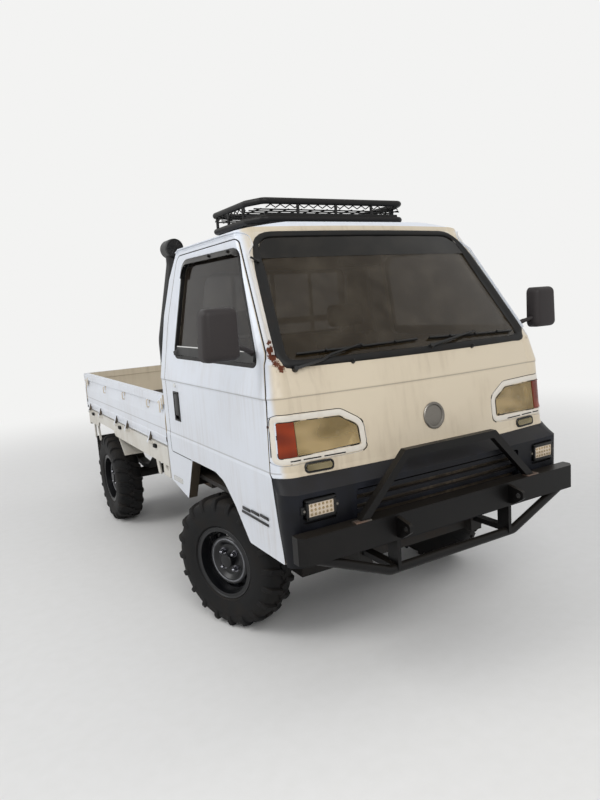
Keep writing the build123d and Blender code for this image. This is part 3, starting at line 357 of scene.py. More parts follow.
def see_through(name, colour, alpha, rough, film_to=0.15, rib_mm=None, ior=1.5, shine=0.5, painted_glint=None):
    """Glass or clear plastic: its tint, what it hides, a film of dust, moulded ribs, its shine, and level streaks
    of painted highlight."""
    material, tree, where = surface(name)
    film = add(tree, "TexNoise", {"Vector": where, "Scale": per_metre(90), "Detail": 7})
    dust = add(tree, "MapRange", {"Value": film, "From Min": 0.42, "From Max": 0.8, "To Max": film_to})
    clear = linear(colour)
    if painted_glint:
        # Painted light: level streaks of a lighter colour stand for highlights and the lit reflector seen in the
        # lens
        level = add(tree, "Mapping", {"Vector": where, "Scale": (0.4, 0.4, 1.0)})
        glint_clouds = add(tree, "TexNoise", {"Vector": level, "Scale": per_metre(48), "Detail": 0})
        painted_light_mask = add(tree, "MapRange", {"Value": glint_clouds, "From Min": 0.3, "From Max": 0.75})
        clear = add(tree, "Mix", {"Factor": painted_light_mask, "A": clear, "B": linear(painted_glint)}, data_type="RGBA")
    tint = add(tree, "Mix", {"Factor": dust, "A": clear, "B": linear("#b9ad98")}, data_type="RGBA")
    hides = add(tree, "MapRange", {"Value": dust, "To Min": alpha, "To Max": 1.0})
    dull = add(tree, "MapRange", {"Value": dust, "From Max": 0.4, "To Min": rough, "To Max": rough + 0.3})
    pane = {"Base Color": tint, "Alpha": hides, "Roughness": dull, "IOR": ior, "Specular IOR Level": shine}
    if rib_mm:
        upright = add(tree, "Mapping", {"Vector": where, "Scale": (per_metre(rib_mm) / 20, 0, 0)})
        ribs = add(tree, "TexWave", {"Vector": upright, "Scale": 20.0, "Distortion": 0.0}, wave_profile="SIN")
        pane["Normal"] = add(tree, "Bump", {"Height": ribs, "Distance": 0.001, "Strength": 0.5})
    add(tree, "OutputMaterial", {"Surface": add(tree, "BsdfPrincipled", pane)})
    return material


chrome = polished("chrome_plate", "#d8d8d6", 0.1)
nut_chrome = polished("dulled_nut_chrome", "#84848a", 0.14)
zinc = polished("zinc_plated_steel", "#a9a8a2", 0.32)
badge_steel = polished("dulled_badge_chrome", "#77736d", 0.28, haze_mm=12)
reflector = polished("aluminised_reflector", "#e3cf9c", 0.14)
mirror_silver = polished("silvered_mirror", "#c9cdd0", 0.02)
# Painted shade: each face hides this much, more than tinted glass would, so the panes read as dark as a shaded cab
# behind them
GLASS_HIDES = 0.64
# Painted reflection and shade: the panes' dark brown colours stand for mirrored warm surroundings and the shaded
# cab as well as the tint
screen_glass_painted_dark = see_through("tinted_screen_glass_painted_shade", "#2c2212", GLASS_HIDES, 0.02, film_to=0.08, shine=0.36)
door_glass_painted_dark = see_through("tinted_door_glass_painted_shade", "#1c1613", GLASS_HIDES, 0.02, film_to=0.05, shine=0.3)
smoke_acrylic = see_through("smoked_acrylic", "#171513", 0.92, 0.14, film_to=0.05, shine=0.2)
shade_film = see_through("screen_shade_band", "#0d0a06", 0.92, 0.05, film_to=0.03, shine=0.3)
# The lighter streak colours of these lenses are painted highlights
yellowed_lens = see_through(
    "yellowed_polycarbonate", "#87703f", 0.6, 0.16, 0.08, rib_mm=14, ior=1.58, painted_glint="#c0a673"
)
amber_lens = see_through(
    "amber_acrylic", "#6a1f02", 0.97, 0.2, 0.02, rib_mm=6, ior=1.49, shine=0.3, painted_glint="#993507"
)
red_lens = see_through("red_acrylic", "#8d0f12", 0.86, 0.14, rib_mm=6, ior=1.49)
clear_lens = see_through("clear_acrylic", "#cfcabb", 0.35, 0.1, rib_mm=5, ior=1.49)
smoky_lens = see_through(
    "smoky_acrylic", "#5d5136", 0.86, 0.2, 0.1, rib_mm=5, ior=1.49, shine=0.3, painted_glint="#8f8361"
)
print("through both faces of the screen one sees", round((1 - GLASS_HIDES) ** 2, 2), "of what is behind it")

# %% [markdown]
# ## Seat cloth
#
# The seats wear a grey woven cloth. Its yarns are under a millimetre apart, too fine to show, so the weave is
# drawn at 4 mm as two sets of waves crossing at right angles, with a sheen that brightens where the cloth
# turns away.

# %% Woven cloth
cloth, tree, where = surface("woven_seat_cloth")
threads = {"Vector": where, "Scale": per_metre(4) / 20, "Distortion": 0.6}
warp = add(tree, "TexWave", threads, bands_direction="X")
weft = add(tree, "TexWave", threads, bands_direction="Z")
weave = add(tree, "Math", {0: warp, 1: weft}, operation="MULTIPLY")
faded = add(tree, "TexNoise", {"Vector": where, "Scale": per_metre(140), "Detail": 5})
tone = add(tree, "Mix", {"Factor": faded, "A": linear("#3a3a3c"), "B": linear("#55524e")}, data_type="RGBA")
tone = add(tree, "Mix", {"Factor": weave, "A": tone, "B": linear("#68655f")}, data_type="RGBA")
yarn = add(tree, "Bump", {"Height": weave, "Distance": 0.0006, "Strength": 0.7})
fabric = {"Base Color": tone, "Roughness": 0.9, "Sheen Weight": 0.3, "Sheen Roughness": 0.4, "Normal": yarn}
add(tree, "OutputMaterial", {"Surface": add(tree, "BsdfPrincipled", fabric)})
print("the cloth's weave repeats", round(per_metre(4)), "times a metre")

# %% [markdown]
# ## Finishes on the frame
#
# Each CAD node keeps its shape and takes one of the finishes above. A table of node to finish is easier to
# check against the truck than a call on each.

# %% Finish table
FINISH = {
    "cab_front_panel": cab_enamel,
    "cab_side_frame": cab_enamel,
    "cab_roof": cab_enamel,
    "cab_rear_wall": cab_enamel,
    "door_panel_right": cab_enamel,
    "door_panel_left": cab_enamel,
    "bed_floor": bed_enamel,
    "bed_headboard": bed_enamel,
    "side_gate_right": cab_enamel,
    "side_gate_left": cab_enamel,
    "tail_gate": cab_enamel,
    "cab_floor": chassis_paint,
    "chassis_frame": chassis_paint,
    "rear_axle": chassis_paint,
    "front_suspension": chassis_paint,
    "fuel_tank": chassis_paint,
    "front_bumper": polypropylene,
    "steel_bumper": bar_satin,
    "roof_basket": powder_coat,
    "snorkel": trim_abs,
    "wipers": trim_abs,
    "steering_column": trim_abs,
    "steering_wheel": trim_abs,
    "dashboard": cabin_abs,
    "door_mirror_right": mirror_abs,
    "door_mirror_left": mirror_abs,
    "cab_glass": screen_glass_painted_dark,
    "door_glass_right": door_glass_painted_dark,
    "door_glass_left": door_glass_painted_dark,
    "headlamps": yellowed_lens,
    "turn_lamps": amber_lens,
    "small_lamps": smoky_lens,
    "tail_lamps": red_lens,
    "seats": cloth,
    "knuckle_right": casting,
    "knuckle_left": casting,
    "engine_block": casting,
    "driveline": casting,
    "tie_rod": bare_steel,
    "exhaust": bare_steel,
}
for side in ("right", "left"):
    for end in ("front", "rear"):
        FINISH[f"{end}_tyre_{side}"] = tread_rubber
        FINISH[f"{end}_rim_{side}"] = wheel_paint
for name, finish in FINISH.items():
    mesh = nodes[name].data
    mesh.materials.clear()
    mesh.materials.append(finish)
print(len(FINISH), "of", len(nodes), "nodes have a finish")

# %% [markdown]
# ## Making a piece
#
# Every piece below is a bmesh that ends the same way: doubles are merged, faces are turned outwards, the mesh
# becomes an object at the origin, and it rides on the body that carries it. Shading is smooth, with an edge
# kept sharp where two faces meet at more than a set angle.

# %% From bmesh to piece


def piece(name, bm, finish, body="chassis", smooth=35):
    bmesh.ops.remove_doubles(bm, verts=bm.verts, dist=0.00002)
    bmesh.ops.recalc_face_normals(bm, faces=bm.faces)
    mesh = bpy.data.meshes.new(name)
    bm.to_mesh(mesh)
    bm.free()
    mesh.materials.append(finish)
    mesh.shade_smooth()
    mesh.set_sharp_from_angle(angle=radians(smooth))
    made = bpy.data.objects.new(name, mesh)
    bpy.context.scene.collection.objects.link(made)
    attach(made, body)
    print(name, "has", len(mesh.polygons), "faces")
    return made


# %% [markdown]
# Four small forms make nearly everything: a block with rounded edges, a round bar, a turned shape, and a
# section swept along a route. Each starts from a `bmesh.ops.create_` shape or a few vertices and is shaped by
# operators, so the script never works out lists of faces. All four take millimetres from the front axle.

# %% Block, bar and turned shape


def block(bm, low, high, edge=0.0, segments=2):
    """A box between two corners, with its edges rounded to a real radius."""
    low, high = Vector(low), Vector(high)
    made = bmesh.ops.create_cube(bm, size=1)["verts"]
    bmesh.ops.scale(bm, vec=(high - low) / 1000, verts=made)
    bmesh.ops.translate(bm, vec=place(*(low + high) / 2), verts=made)
    if edge:
        edges = list({e for v in made for e in v.link_edges})
        bmesh.ops.bevel(
            bm, geom=edges, offset=edge / 1000, segments=segments, profile=0.5, affect="EDGES", material=-1
        )


def side_block(bm, sign, low, high, edge=0.0, segments=2):
    """A block drawn for the truck's left side, or its mirror image for the right one."""
    near_x, far_x = sorted((sign * low[0], sign * high[0]))
    block(bm, (near_x, low[1], low[2]), (far_x, high[1], high[2]), edge, segments)


def bar(bm, start, end, radius, sides=16, tip=None):
    """A round bar or cone between two points of the frame, in metres; its radius is in millimetres."""
    line = end - start
    made = bmesh.ops.create_cone(
        bm,
        cap_ends=True,
        segments=sides,
        radius1=radius / 1000,
        radius2=(radius if tip is None else tip) / 1000,
        depth=line.length,
    )["verts"]
    turn = line.to_track_quat("Z", "Y").to_matrix().to_4x4()
    bmesh.ops.transform(bm, matrix=Matrix.Translation((start + end) / 2) @ turn, verts=made)


def turned(bm, profile, centre, axis, steps=48):
    """A profile of (distance along the axis, radius) spun about an axis through a point of the frame."""
    axis = Vector(axis).normalized()
    across = axis.orthogonal().normalized()
    points = [bm.verts.new(centre + axis * a / 1000 + across * r / 1000) for a, r in profile]
    edges = [bm.edges.new(pair) for pair in zip(points, points[1:])]
    bmesh.ops.spin(bm, geom=points + edges, cent=centre, axis=axis, angle=2 * pi, steps=steps, use_merge=True)


print("a block, a bar and a turned shape are ready")

# %% [markdown]
# A seal, a rail, a wiper blade and a tyre's lug are all the same form: a section carried along a route. The
# section is a closed outline of (across, up) offsets; at each point of the route its edges are extruded and
# set square to the way ahead, with `up` along the surface's own direction there.

# %% Section along a route


def sweep(bm, path, ups, section, closed=False, grow=None):
    """Extrudes a section along a route. grow gives a pair of factors, across and up, for each point."""
    count = len(path)
    for i, (point, up_here) in enumerate(zip(path, ups)):
        before = path[i - 1] if (i or closed) else point
        after = path[(i + 1) % count] if (closed or i + 1 < count) else point
        along = (after - before).normalized()
        across = along.cross(up_here).normalized()
        upward = across.cross(along)
        wide, tall = grow[i] if grow else (1, 1)
        spots = [point + across * a * wide / 1000 + upward * u * tall / 1000 for a, u in section]
        if i == 0:
            verts = [bm.verts.new(spot) for spot in spots]
            edges = [bm.edges.new((v, verts[(k + 1) % len(verts)])) for k, v in enumerate(verts)]
            first = list(edges)
            order = verts
            continue
        made = bmesh.ops.extrude_edge_only(bm, edges=edges)["geom"]
        fresh = {v for v in made if isinstance(v, bmesh.types.BMVert)}
        moved = []
        for vert in order:
            moved.append(next(e.other_vert(vert) for e in vert.link_edges if e.other_vert(vert) in fresh))
        for vert, spot in zip(moved, spots):
            vert.co = spot
        order = moved
        ring = set(moved)
        edges = [e for v in moved for e in v.link_edges if e.other_vert(v) in ring]
        edges = list(dict.fromkeys(edges))
    if closed:
        bmesh.ops.bridge_loops(bm, edges=first + edges)
    else:
        bmesh.ops.contextual_create(bm, geom=first)
        bmesh.ops.contextual_create(bm, geom=edges)


def rounded(corners, radii, step=40, closed=True):
    """A route with its corners rounded and its straight runs cut every step, in any number of dimensions."""
    corners = [Vector(c) for c in corners]
    count = len(corners)
    radii = radii if isinstance(radii, (list, tuple)) else [radii] * count
    points = []
    for i, corner in enumerate(corners):
        end_point = not closed and i in (0, count - 1)
        if end_point or not radii[i]:
            points.append(corner)
            continue
        before = (corners[i - 1] - corner).normalized()
        after = (corners[(i + 1) % count] - corner).normalized()
        reach = radii[i] / tan(before.angle(after) / 2)
        start, end = corner + before * reach, corner + after * reach
        for k in range(7):
            t = k / 6
            points.append(start.lerp(corner, t).lerp(corner.lerp(end, t), t))
    dense = []
    for i, point in enumerate(points):
        dense.append(point)
        if i + 1 == len(points) and not closed:
            break
        ahead_point = points[(i + 1) % len(points)]
        cuts = int((ahead_point - point).length // step)
        dense += [point.lerp(ahead_point, (k + 1) / (cuts + 1)) for k in range(cuts)]
    return dense


square = [(0, 0), (100, 0), (100, 100), (0, 100)]
print("a 100 mm square with 20 mm corners has", len(rounded(square, 20)), "points")

# %% [markdown]
# ## Laying pieces on the skin
#
# Seals, lamps and decals have to follow curved panels. A ray cast from the front or from the side finds the
# CAD skin under a point of a flat drawing, and the skin's own direction there says which way is up. A flat
# sheet is cut into squares first, so that it bends with the panel, and then each corner is dropped onto it.

# %% Finding the skin


def skin(*names):
    gathered = bmesh.new()
    for name in names:
        gathered.from_mesh(nodes[name].data)
    tree = BVHTree.FromBMesh(gathered)
    gathered.free()
    return tree


FRONT_NODES = ("cab_front_panel", "cab_side_frame", "cab_glass", "headlamps", "turn_lamps", "cab_roof")
front_skin = skin(*FRONT_NODES)
SIDE_NODES = ["door_panel_right", "door_panel_left", "door_glass_right", "door_glass_left"]
side_skin = skin("cab_side_frame", "cab_roof", "cab_front_panel", "front_bumper", *SIDE_NODES)
# Rays start this far from the front axle, in millimetres, well outside the truck
RAY_START = 3000


def on_front(x, z, lift=0.0):
    """The skin seen from the front at (x, z), with its outward direction."""
    hit, normal, index, distance = front_skin.ray_cast(place(x, -RAY_START, z), Vector((0, 1, 0)))
    normal = -normal if normal.y > 0 else normal
    return hit + normal * lift / 1000, normal


def on_side(side):
    """A function that finds the skin seen from one side at (y, z). side is -1 for the right and 1 for the
    left."""

    def find(y, z, lift=0.0):
        # A ray that slips through the gap round the door is cast again a little to the side
        for aside in (0, 7, -7, 14):
            hit, normal, index, distance = side_skin.ray_cast(
                place(side * RAY_START, y + aside, z), Vector((-side, 0, 0))
            )
            if hit and hit.x * side > 0.4:
                break
        hit = Vector((hit.x, place(0, y, z).y, hit.z))
        normal = -normal if normal.x * side < 0 else normal
        return hit + normal * lift / 1000, normal

    return find


def laid(bm, drawing, onto, step=25, thick=2.0, lift=0.0, bowl=None):
    """A flat drawing cut into squares, given a thickness and dropped onto the skin."""
    old = set(bm.verts)
    face = bm.faces.new([bm.verts.new((u / 1000, 0, v / 1000)) for u, v in drawing])
    for axis, index in ((Vector((1, 0, 0)), 0), (Vector((0, 0, 1)), 1)):
        ends = [point[index] for point in drawing]
        cut = (min(ends) // step + 1) * step
        while cut < max(ends):
            fresh = [v for v in bm.verts if v not in old]
            around = {f for v in fresh for f in v.link_faces}
            geom = fresh + list({e for f in around for e in f.edges}) + list(around)
            bmesh.ops.bisect_plane(bm, geom=geom, dist=1e-6, plane_co=axis * cut / 1000, plane_no=axis)
            cut += step
    lower = [v for v in bm.verts if v not in old]
    faces = list({f for v in lower for f in v.link_faces})
    made = bmesh.ops.extrude_face_region(bm, geom=faces)["geom"]
    upper = [v for v in made if isinstance(v, bmesh.types.BMVert)]
    for verts, height in ((lower, lift), (upper, lift + thick)):
        for vert in verts:
            u, v = vert.co.x * 1000, vert.co.z * 1000
            sunk = bowl(u, v) if bowl else 0.0
            vert.co, normal = onto(u, v, height - sunk)


def along_skin(drawing, onto, lift=0.0):
    """A route on the skin: its points and the skin's direction at each."""
    found = [onto(u, v, lift) for u, v in drawing]
    return [point for point, normal in found], [normal for point, normal in found]


def strip(bm, drawing, onto, section, closed=False, lift=0.0):
    """A section swept along a route on the skin."""
    path, ups = along_skin(drawing, onto, lift)
    sweep(bm, path, ups, section, closed)


nose, nose_up = on_front(0, 1000)
print("the nose at 1 m high stands at y =", round(nose.y, 3), "and faces", [round(v, 2) for v in nose_up])

# %% [markdown]
# ## The windscreen's seal
#
# A screen of this age isn't glued: a black rubber seal grips the glass on one side and the pressed flange on
# the other. It is one extrusion with a joint, so it is one section swept round the opening, a little outside
# its edge. Beside the pillars the rubber is nearly twice as wide as along the top and the foot.

# %% Seals round the screen and the rear window
SCREEN = [(-612, 1224), (612, 1224), (527, 1716), (-527, 1716)]
SCREEN_SEAL = [(-14, -7), (14, -7), (14, 1), (9, 6), (2, 7), (-6, 6), (-12, 2)]
bm = bmesh.new()
route = rounded(SCREEN, [42, 42, 100, 100], step=30)
path, ups = along_skin(route, on_front)
# Beside the pillars the rubber is nearly twice as wide as along the top and the foot
PILLAR_FOOT_X, PILLAR_FOOT_Z = SCREEN[1]
# How far a pillar leans inwards for each millimetre that it rises
PILLAR_LEAN = 0.173
beside = []
for x, z in route:
    from_pillar = PILLAR_FOOT_X - (z - PILLAR_FOOT_Z) * PILLAR_LEAN - abs(x)
    beside.append(max(0.0, 1 - from_pillar / 60) * min(1, max(0, (1660 - z) / 90)))
sweep(bm, path, ups, SCREEN_SEAL, closed=True, grow=[(1 + 0.7 * near, 1) for near in beside])
piece("screen_seal", bm, seal_rubber)
print("the screen's seal has", len(path), "stations")

rear_skin = skin("cab_rear_wall", "cab_side_frame", "cab_glass")


def on_rear(x, z, lift=0.0):
    hit, normal, index, distance = rear_skin.ray_cast(place(x, RAY_START, z), Vector((0, -1, 0)))
    normal = -normal if normal.y < 0 else normal
    return hit + normal * lift / 1000, normal


REAR_SCREEN = [(-474, 1266), (474, 1266), (434, 1624), (-434, 1624)]
bm = bmesh.new()
strip(bm, rounded(REAR_SCREEN, 62, step=40), on_rear, SCREEN_SEAL, closed=True)
piece("rear_window_seal", bm, seal_rubber)

# %% [markdown]
# The screen carries a dark shade band along its top, printed on the glass with a sharp lower edge. It is a
# film laid a fraction of a millimetre off the pane.

# %% Shade band
bm = bmesh.new()
BAND = [(-536, 1616), (536, 1616), (524, 1660), (470, 1706), (-470, 1706), (-524, 1660)]
laid(bm, BAND, on_front, step=60, thick=0.4, lift=0.6)
piece("screen_shade_band", bm, shade_film)

# %% [markdown]
# ## Windows in the doors
#
# A roll-down window runs in a U-shaped rubber channel, so the opening has a black line all round and the pane
# sits well back from the skin. Below the glass line lies a black pressed panel with a bright strip along its
# top. A smoked rain visor is screwed over the top edge on four clips. Everything here rides on the door.

# %% Window channel, belt panel and visor
WINDOW = [(-570, 1222), (322, 1226), (300, 1668), (-315, 1660)]
CHANNEL = [(-8, -14), (7, -14), (7, 0), (4, 2.2), (-6, 2.2), (-8, 1)]
BELT = [(-540, 1230), (296, 1234), (312, 1250), (310, 1270), (-556, 1267), (-556, 1240)]
VISOR_ROUTE = [(304, 1590), (301, 1668), (-308, 1660), (-334, 1630)]
VISOR = [(-7, 3), (2, 3.5), (10, 7), (18, 9), (18, 11), (9, 9), (1, 6), (-7, 5.5)]
SIDES = {"right": -1, "left": 1}
for side, sign in SIDES.items():
    onto = on_side(sign)
    door = "door_" + side
    bm = bmesh.new()
    line = rounded(WINDOW, [24, 49, 74, 64], step=40)
    strip(bm, line, onto, [(a * sign, u) for a, u in CHANNEL], closed=True)
    piece("window_channel_" + side, bm, seal_rubber, door)
    bm = bmesh.new()
    laid(bm, BELT, onto, step=70, thick=8, lift=3)
    piece("belt_panel_" + side, bm, trim_abs, door)
    bm = bmesh.new()
    line = [(-540 + 70 * k, 1270 + 0.3 * k) for k in range(13)]
    strip(bm, line, onto, [(-2.5, 0), (2.5, 0), (2.5, 4), (-2.5, 4)], lift=8)
    piece("belt_strip_" + side, bm, chrome, door)
    bm = bmesh.new()
    path, ups = along_skin(rounded(VISOR_ROUTE, [0, 72, 60, 0], step=30, closed=False), onto)
    tapered = [(min(1, 0.4 + 0.2 * min(i, len(path) - 1 - i)), 1) for i in range(len(path))]
    sweep(bm, path, ups, [(a * -sign, u) for a, u in VISOR], grow=tapered)
    piece("rain_visor_" + side, bm, smoke_acrylic, door)
    bm = bmesh.new()
    for y, z in ((-240, 1648), (-40, 1651), (240, 1651), (297, 1584)):
        spot, normal = onto(y, z + 10)
        bar(bm, spot, spot + normal * 0.015, 6, sides=12)
    piece("visor_clips_" + side, bm, trim_abs, door)

# %% [markdown]
# ## The rain gutter
#
# The roof and the sides are welded along a flange that is rolled up into a gutter. It runs back along the
# roof and down each pillar to the foot of the screen, and it draws the thin shadow line that makes the door
# frame read as a separate pressing. Its section is a small hook.

# %% Gutter
GUTTER_ROUTE = [(-622, 1262), (-306, 1720), (-180, 1724), (366, 1724), (402, 1714)]
GUTTER = [(-5, -2), (5, -2), (5, 8), (3, 8), (3, 1.5), (-5, 1.5)]
for side, sign in SIDES.items():
    bm = bmesh.new()
    line = rounded(GUTTER_ROUTE, [0, 50, 90, 40, 0], step=40, closed=False)
    strip(bm, line, on_side(sign), [(a * -sign, u) for a, u in GUTTER])
    piece("rain_gutter_" + side, bm, cab_enamel)
# Two black fittings sit on the right pillar: the aerial's round knob and, higher up, a clip
bm = bmesh.new()
spot, normal = on_front(-645, 1325)
bar(bm, spot, spot + normal * 0.022, 11, sides=20, tip=8)
bar(bm, spot + normal * 0.01, spot + Vector((0, -0.006, -0.05)), 6, sides=12)
piece("aerial_knob", bm, trim_abs)
bm = bmesh.new()
spot, normal = on_front(-556, 1600)
for drop in (0.0, 0.02):
    bar(bm, spot + Vector((0, 0, -drop)), spot + normal * 0.016 + Vector((0, 0, -drop)), 8, sides=14)
bar(bm, spot + normal * 0.01, spot + normal * 0.014 + Vector((-0.03, 0.004, 0.014)), 4, sides=10)
piece("pillar_clip", bm, trim_abs)

# %% [markdown]
# ## Door seals
#
# A rubber bead runs round each door opening. Closed doors hide all of it but a dark line in the gap, which is
# what draws a door's outline on a white truck. It lies just below the skin and stays on the frame when the
# door swings.

# %% Beads in the gaps
DOOR_LINE = [(184, 747.5), (444.5, 747.5), (444.5, 1110), (455.5, 1400), (390, 1701.5), (-298.7, 1701.5)]
DOOR_LINE += [(-606.6, 1256.5), (-641.5, 1120), (-638.5, 845), (-652.5, 831), (-700, 540)]
DOOR_LINE_RADII = [0, 18, 500, 300, 58, 48, 118, 58, 2, 3, 0]


def over_gap(side):
    """A function like on_side's, for a gap: it takes the skin either side of it, so it never looks down into
    it."""
    inwards = Vector((-side, 0, 0))

    def bridged(y, z, lift=0.0):
        reach, facing = 0.0, None
        for aside in (Vector((0, 0.008, 0)), Vector((0, 0, 0.008))):
            pair = [side_skin.ray_cast(place(side * RAY_START, y, z) + aside * way, inwards) for way in (-1, 1)]
            found = [(side * hit.x, normal) for hit, normal, index, distance in pair if hit]
            middle = sum(out for out, normal in found) / max(1, len(found))
            if middle > reach:
                reach, facing = middle, found[0][1]
        facing = -facing if facing.x * side < 0 else facing
        return Vector((side * reach, place(0, y, z).y, z / 1000)) + facing * lift / 1000, facing

    return bridged


for side, sign in SIDES.items():
    bm = bmesh.new()
    line = rounded(DOOR_LINE, DOOR_LINE_RADII, step=25, closed=False)
    strip(bm, line, over_gap(sign), [(-2.3, -9), (2.3, -9), (2.3, -0.6), (-2.3, -0.6)])
    piece("door_seal_" + side, bm, seal_rubber)

# %% [markdown]
# ## Door handles
#
# The handle is a black plastic paddle in a square cup, set low behind the window. Fingers go in under the
# paddle and pull it outwards, so it stands clear of the cup's floor.

# %% Handles
for side, sign in SIDES.items():
    bm = bmesh.new()
    block(bm, (sign * 682 - 2, 270, 920), (sign * 682 + 2, 340, 1059), 1)
    for low_z, high_z in ((918, 926), (1053, 1061)):
        block(bm, (sign * 690 - 8, 268, low_z), (sign * 690 + 8.5, 342, high_z), 2)
    for low_y, high_y in ((268, 275), (335, 342)):
        block(bm, (sign * 690 - 8, low_y, 918), (sign * 690 + 8.5, high_y, 1061), 2)
    block(bm, (sign * 693 - 4.5, 279, 944), (sign * 693 + 4.5, 331, 1050), 4, segments=3)
    piece("door_handle_" + side, bm, trim_abs, "door_" + side)
    bm = bmesh.new()
    bar(bm, place(sign * 690, 306, 1092), place(sign * 699, 306, 1092), 11, sides=28)
    piece("door_lock_" + side, bm, chrome, "door_" + side)
    bm = bmesh.new()
    for k in range(3):
        from_corner = (sign * 697.4 - 1, -604 + 78 * k, 660 - 4 * k)
        block(bm, from_corner, (sign * 697.4 + 1, -536 + 78 * k, 672 - 4 * k), 0.4)
    block(bm, (sign * 697.4 - 1, -600, 636), (sign * 697.4 + 1, -372, 646), 0.4)
    piece("door_stripes_" + side, bm, decal_film, "door_" + side)

# %% [markdown]
# ## Mirrors
#
# Each mirror is a deep grey shell with rounded corners on a short round arm, and the arm leaves a flat base
# in the window's lower front corner. The shell is a block with a large bevel, a little narrower at its top.
# Its silvered pane sits in a recess at the back, which is made by an inset pushed in.

# %% Mirror shells, arms and bases
MIRROR_BASE = [(-563, 1229), (-478, 1229), (-478, 1240), (-517, 1308)]
for side, sign in SIDES.items():
    bm = bmesh.new()
    side_block(bm, sign, (750, -611, 1254), (890, -550, 1438))
    back = max(bm.faces, key=lambda face: face.calc_center_median().y)
    shell_edges = [edge for edge in bm.edges if back not in edge.link_faces]
    bmesh.ops.inset_region(bm, faces=[back], thickness=0.007, use_even_offset=True)
    for vert in back.verts:
        vert.co.y -= 0.006
    bmesh.ops.bevel(
        bm,
        geom=shell_edges,
        offset=0.026,
        segments=5,
        profile=0.5,
        affect="EDGES",
        material=-1,
        clamp_overlap=True,
    )
    for vert in bm.verts:
        rise = (vert.co.z - 1.254) / 0.184
        vert.co.x -= sign * 0.010 * rise * (vert.co.x * sign - 0.75) / 0.14
    bar(bm, place(sign * 668, -530, 1266), place(sign * 716, -562, 1288), 12, sides=20, tip=10)
    bar(bm, place(sign * 712, -561, 1287), place(sign * 768, -582, 1302), 9, sides=20)
    laid(bm, MIRROR_BASE, on_side(sign), step=20, thick=7, lift=-3)
    shell = piece("mirror_shell_" + side, bm, mirror_abs, "door_" + side, smooth=45)
    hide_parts("door_mirror_" + side)
    bm = bmesh.new()
    block(bm, (sign * 819 - 56, -560, 1266), (sign * 819 + 56, -554, 1426), 1.5)
    piece("mirror_silver_" + side, bm, mirror_silver, "door_" + side)

# %% [markdown]
# ## Headlamps
#
# Each lamp is a moulded lens over an aluminised bowl, with the amber flasher in its outer end. Sun has
# yellowed the clear plastic. The lens is a thin shell laid along the nose. Behind it a long bowl is pushed
# in, and bulbs stand in it, so that the lamp has depth instead of being a beige patch. A painted moulding
# frames it, with a seam round its outside.

# %% Lenses, bowls and bulbs
LENS_HEAD = [(609, 1026), (430, 1021), (360, 979), (356, 914), (609, 903)]
LENS_TURN = [(670, 1026), (612, 1025), (612, 903), (672, 902)]
LAMP_FRAME = [(672, 1028), (427, 1023), (356, 981), (353, 910), (675, 900)]
SURROUND_SEAM = [(690, 905), (687, 1053), (420, 1050), (331, 996), (327, 896), (346, 884)]
SURROUND_RING = [(683, 1041), (423, 1037), (343, 989), (339, 897), (684, 888)]
RING_SECTION = [(-10, -2), (10, -2), (10, 0.2), (8.5, 0.9), (-8.5, 0.9), (-10, 0.2)]
LAMP_AXIS_Z = 962
# How far along the lamp each bulb stands, how deep, and its radius
BULBS = [(545, 46, 17), (430, 46, 12), (642, 34, 11)]


def bowl(u, v):
    """How deep the lamp's bowl is at a point of its drawing: one long trough with round ends."""
    along = max(0.0, abs(abs(u) - 488) - 70) / 58
    across = (v - LAMP_AXIS_Z) / 62
    return 8 + 32 * max(0.0, 1 - along**2 - across**2)


head, turn, bowls, bulbs, frames, seams, rings = (bmesh.new() for _ in range(7))
for sign in SIDES.values():
    laid(head, [(sign * x, z) for x, z in LENS_HEAD], on_front, step=20, thick=3, lift=0)
    laid(turn, [(sign * x, z) for x, z in LENS_TURN], on_front, step=20, thick=3.5, lift=0)
    laid(bowls, [(sign * x, z) for x, z in LAMP_FRAME], on_front, step=12, thick=1.5, lift=-14, bowl=bowl)
    for along, depth, size in BULBS:
        spot, normal = on_front(sign * along, LAMP_AXIS_Z, -depth)
        bar(bulbs, spot, spot + normal * 0.022, size, sides=20, tip=size * 0.7)
    line = rounded([(sign * x, z) for x, z in LAMP_FRAME], [10, 30, 30, 14, 10], step=25)
    strip(frames, line, on_front, [(-1.6, -10), (1.6, -10), (1.6, 1), (-1.6, 1)], closed=True)
    line = rounded([(sign * x, z) for x, z in SURROUND_SEAM], [0, 22, 40, 40, 16, 0], step=14, closed=False)
    strip(seams, line, on_front, [(-1.8, -3), (1.8, -3), (1.8, 1.3), (-1.8, 1.3)])
    ring = rounded([(sign * x, z) for x, z in SURROUND_RING], [14, 38, 38, 18, 14], step=14)
    strip(rings, ring, on_front, RING_SECTION, closed=True)
lenses = piece("headlamp_lenses", head, yellowed_lens, smooth=50)
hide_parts("headlamps")
ambers = piece("flasher_lenses", turn, amber_lens, smooth=50)
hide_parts("turn_lamps")
piece("lamp_bowls", bowls, reflector, smooth=60)
piece("lamp_bulbs", bulbs, mirror_silver)
piece("lamp_frames", frames, seal_rubber)
piece("lamp_surround_seams", seams, seal_rubber)
piece("lamp_surrounds", rings, surround_enamel)
print("a lamp's bowl is", round(bowl(545, LAMP_AXIS_Z)), "mm deep at its bulb")

# %% [markdown]
# ## Small lamps, badge and nozzles
#
# Under each headlamp sits a slim position lamp in a black bezel, and the bumper's bays hold oblong work lamps
# with three rows of diodes, each bolted by its two ears. The round badge at the middle of the nose is left
# blank. Two washer nozzles stand under the screen.

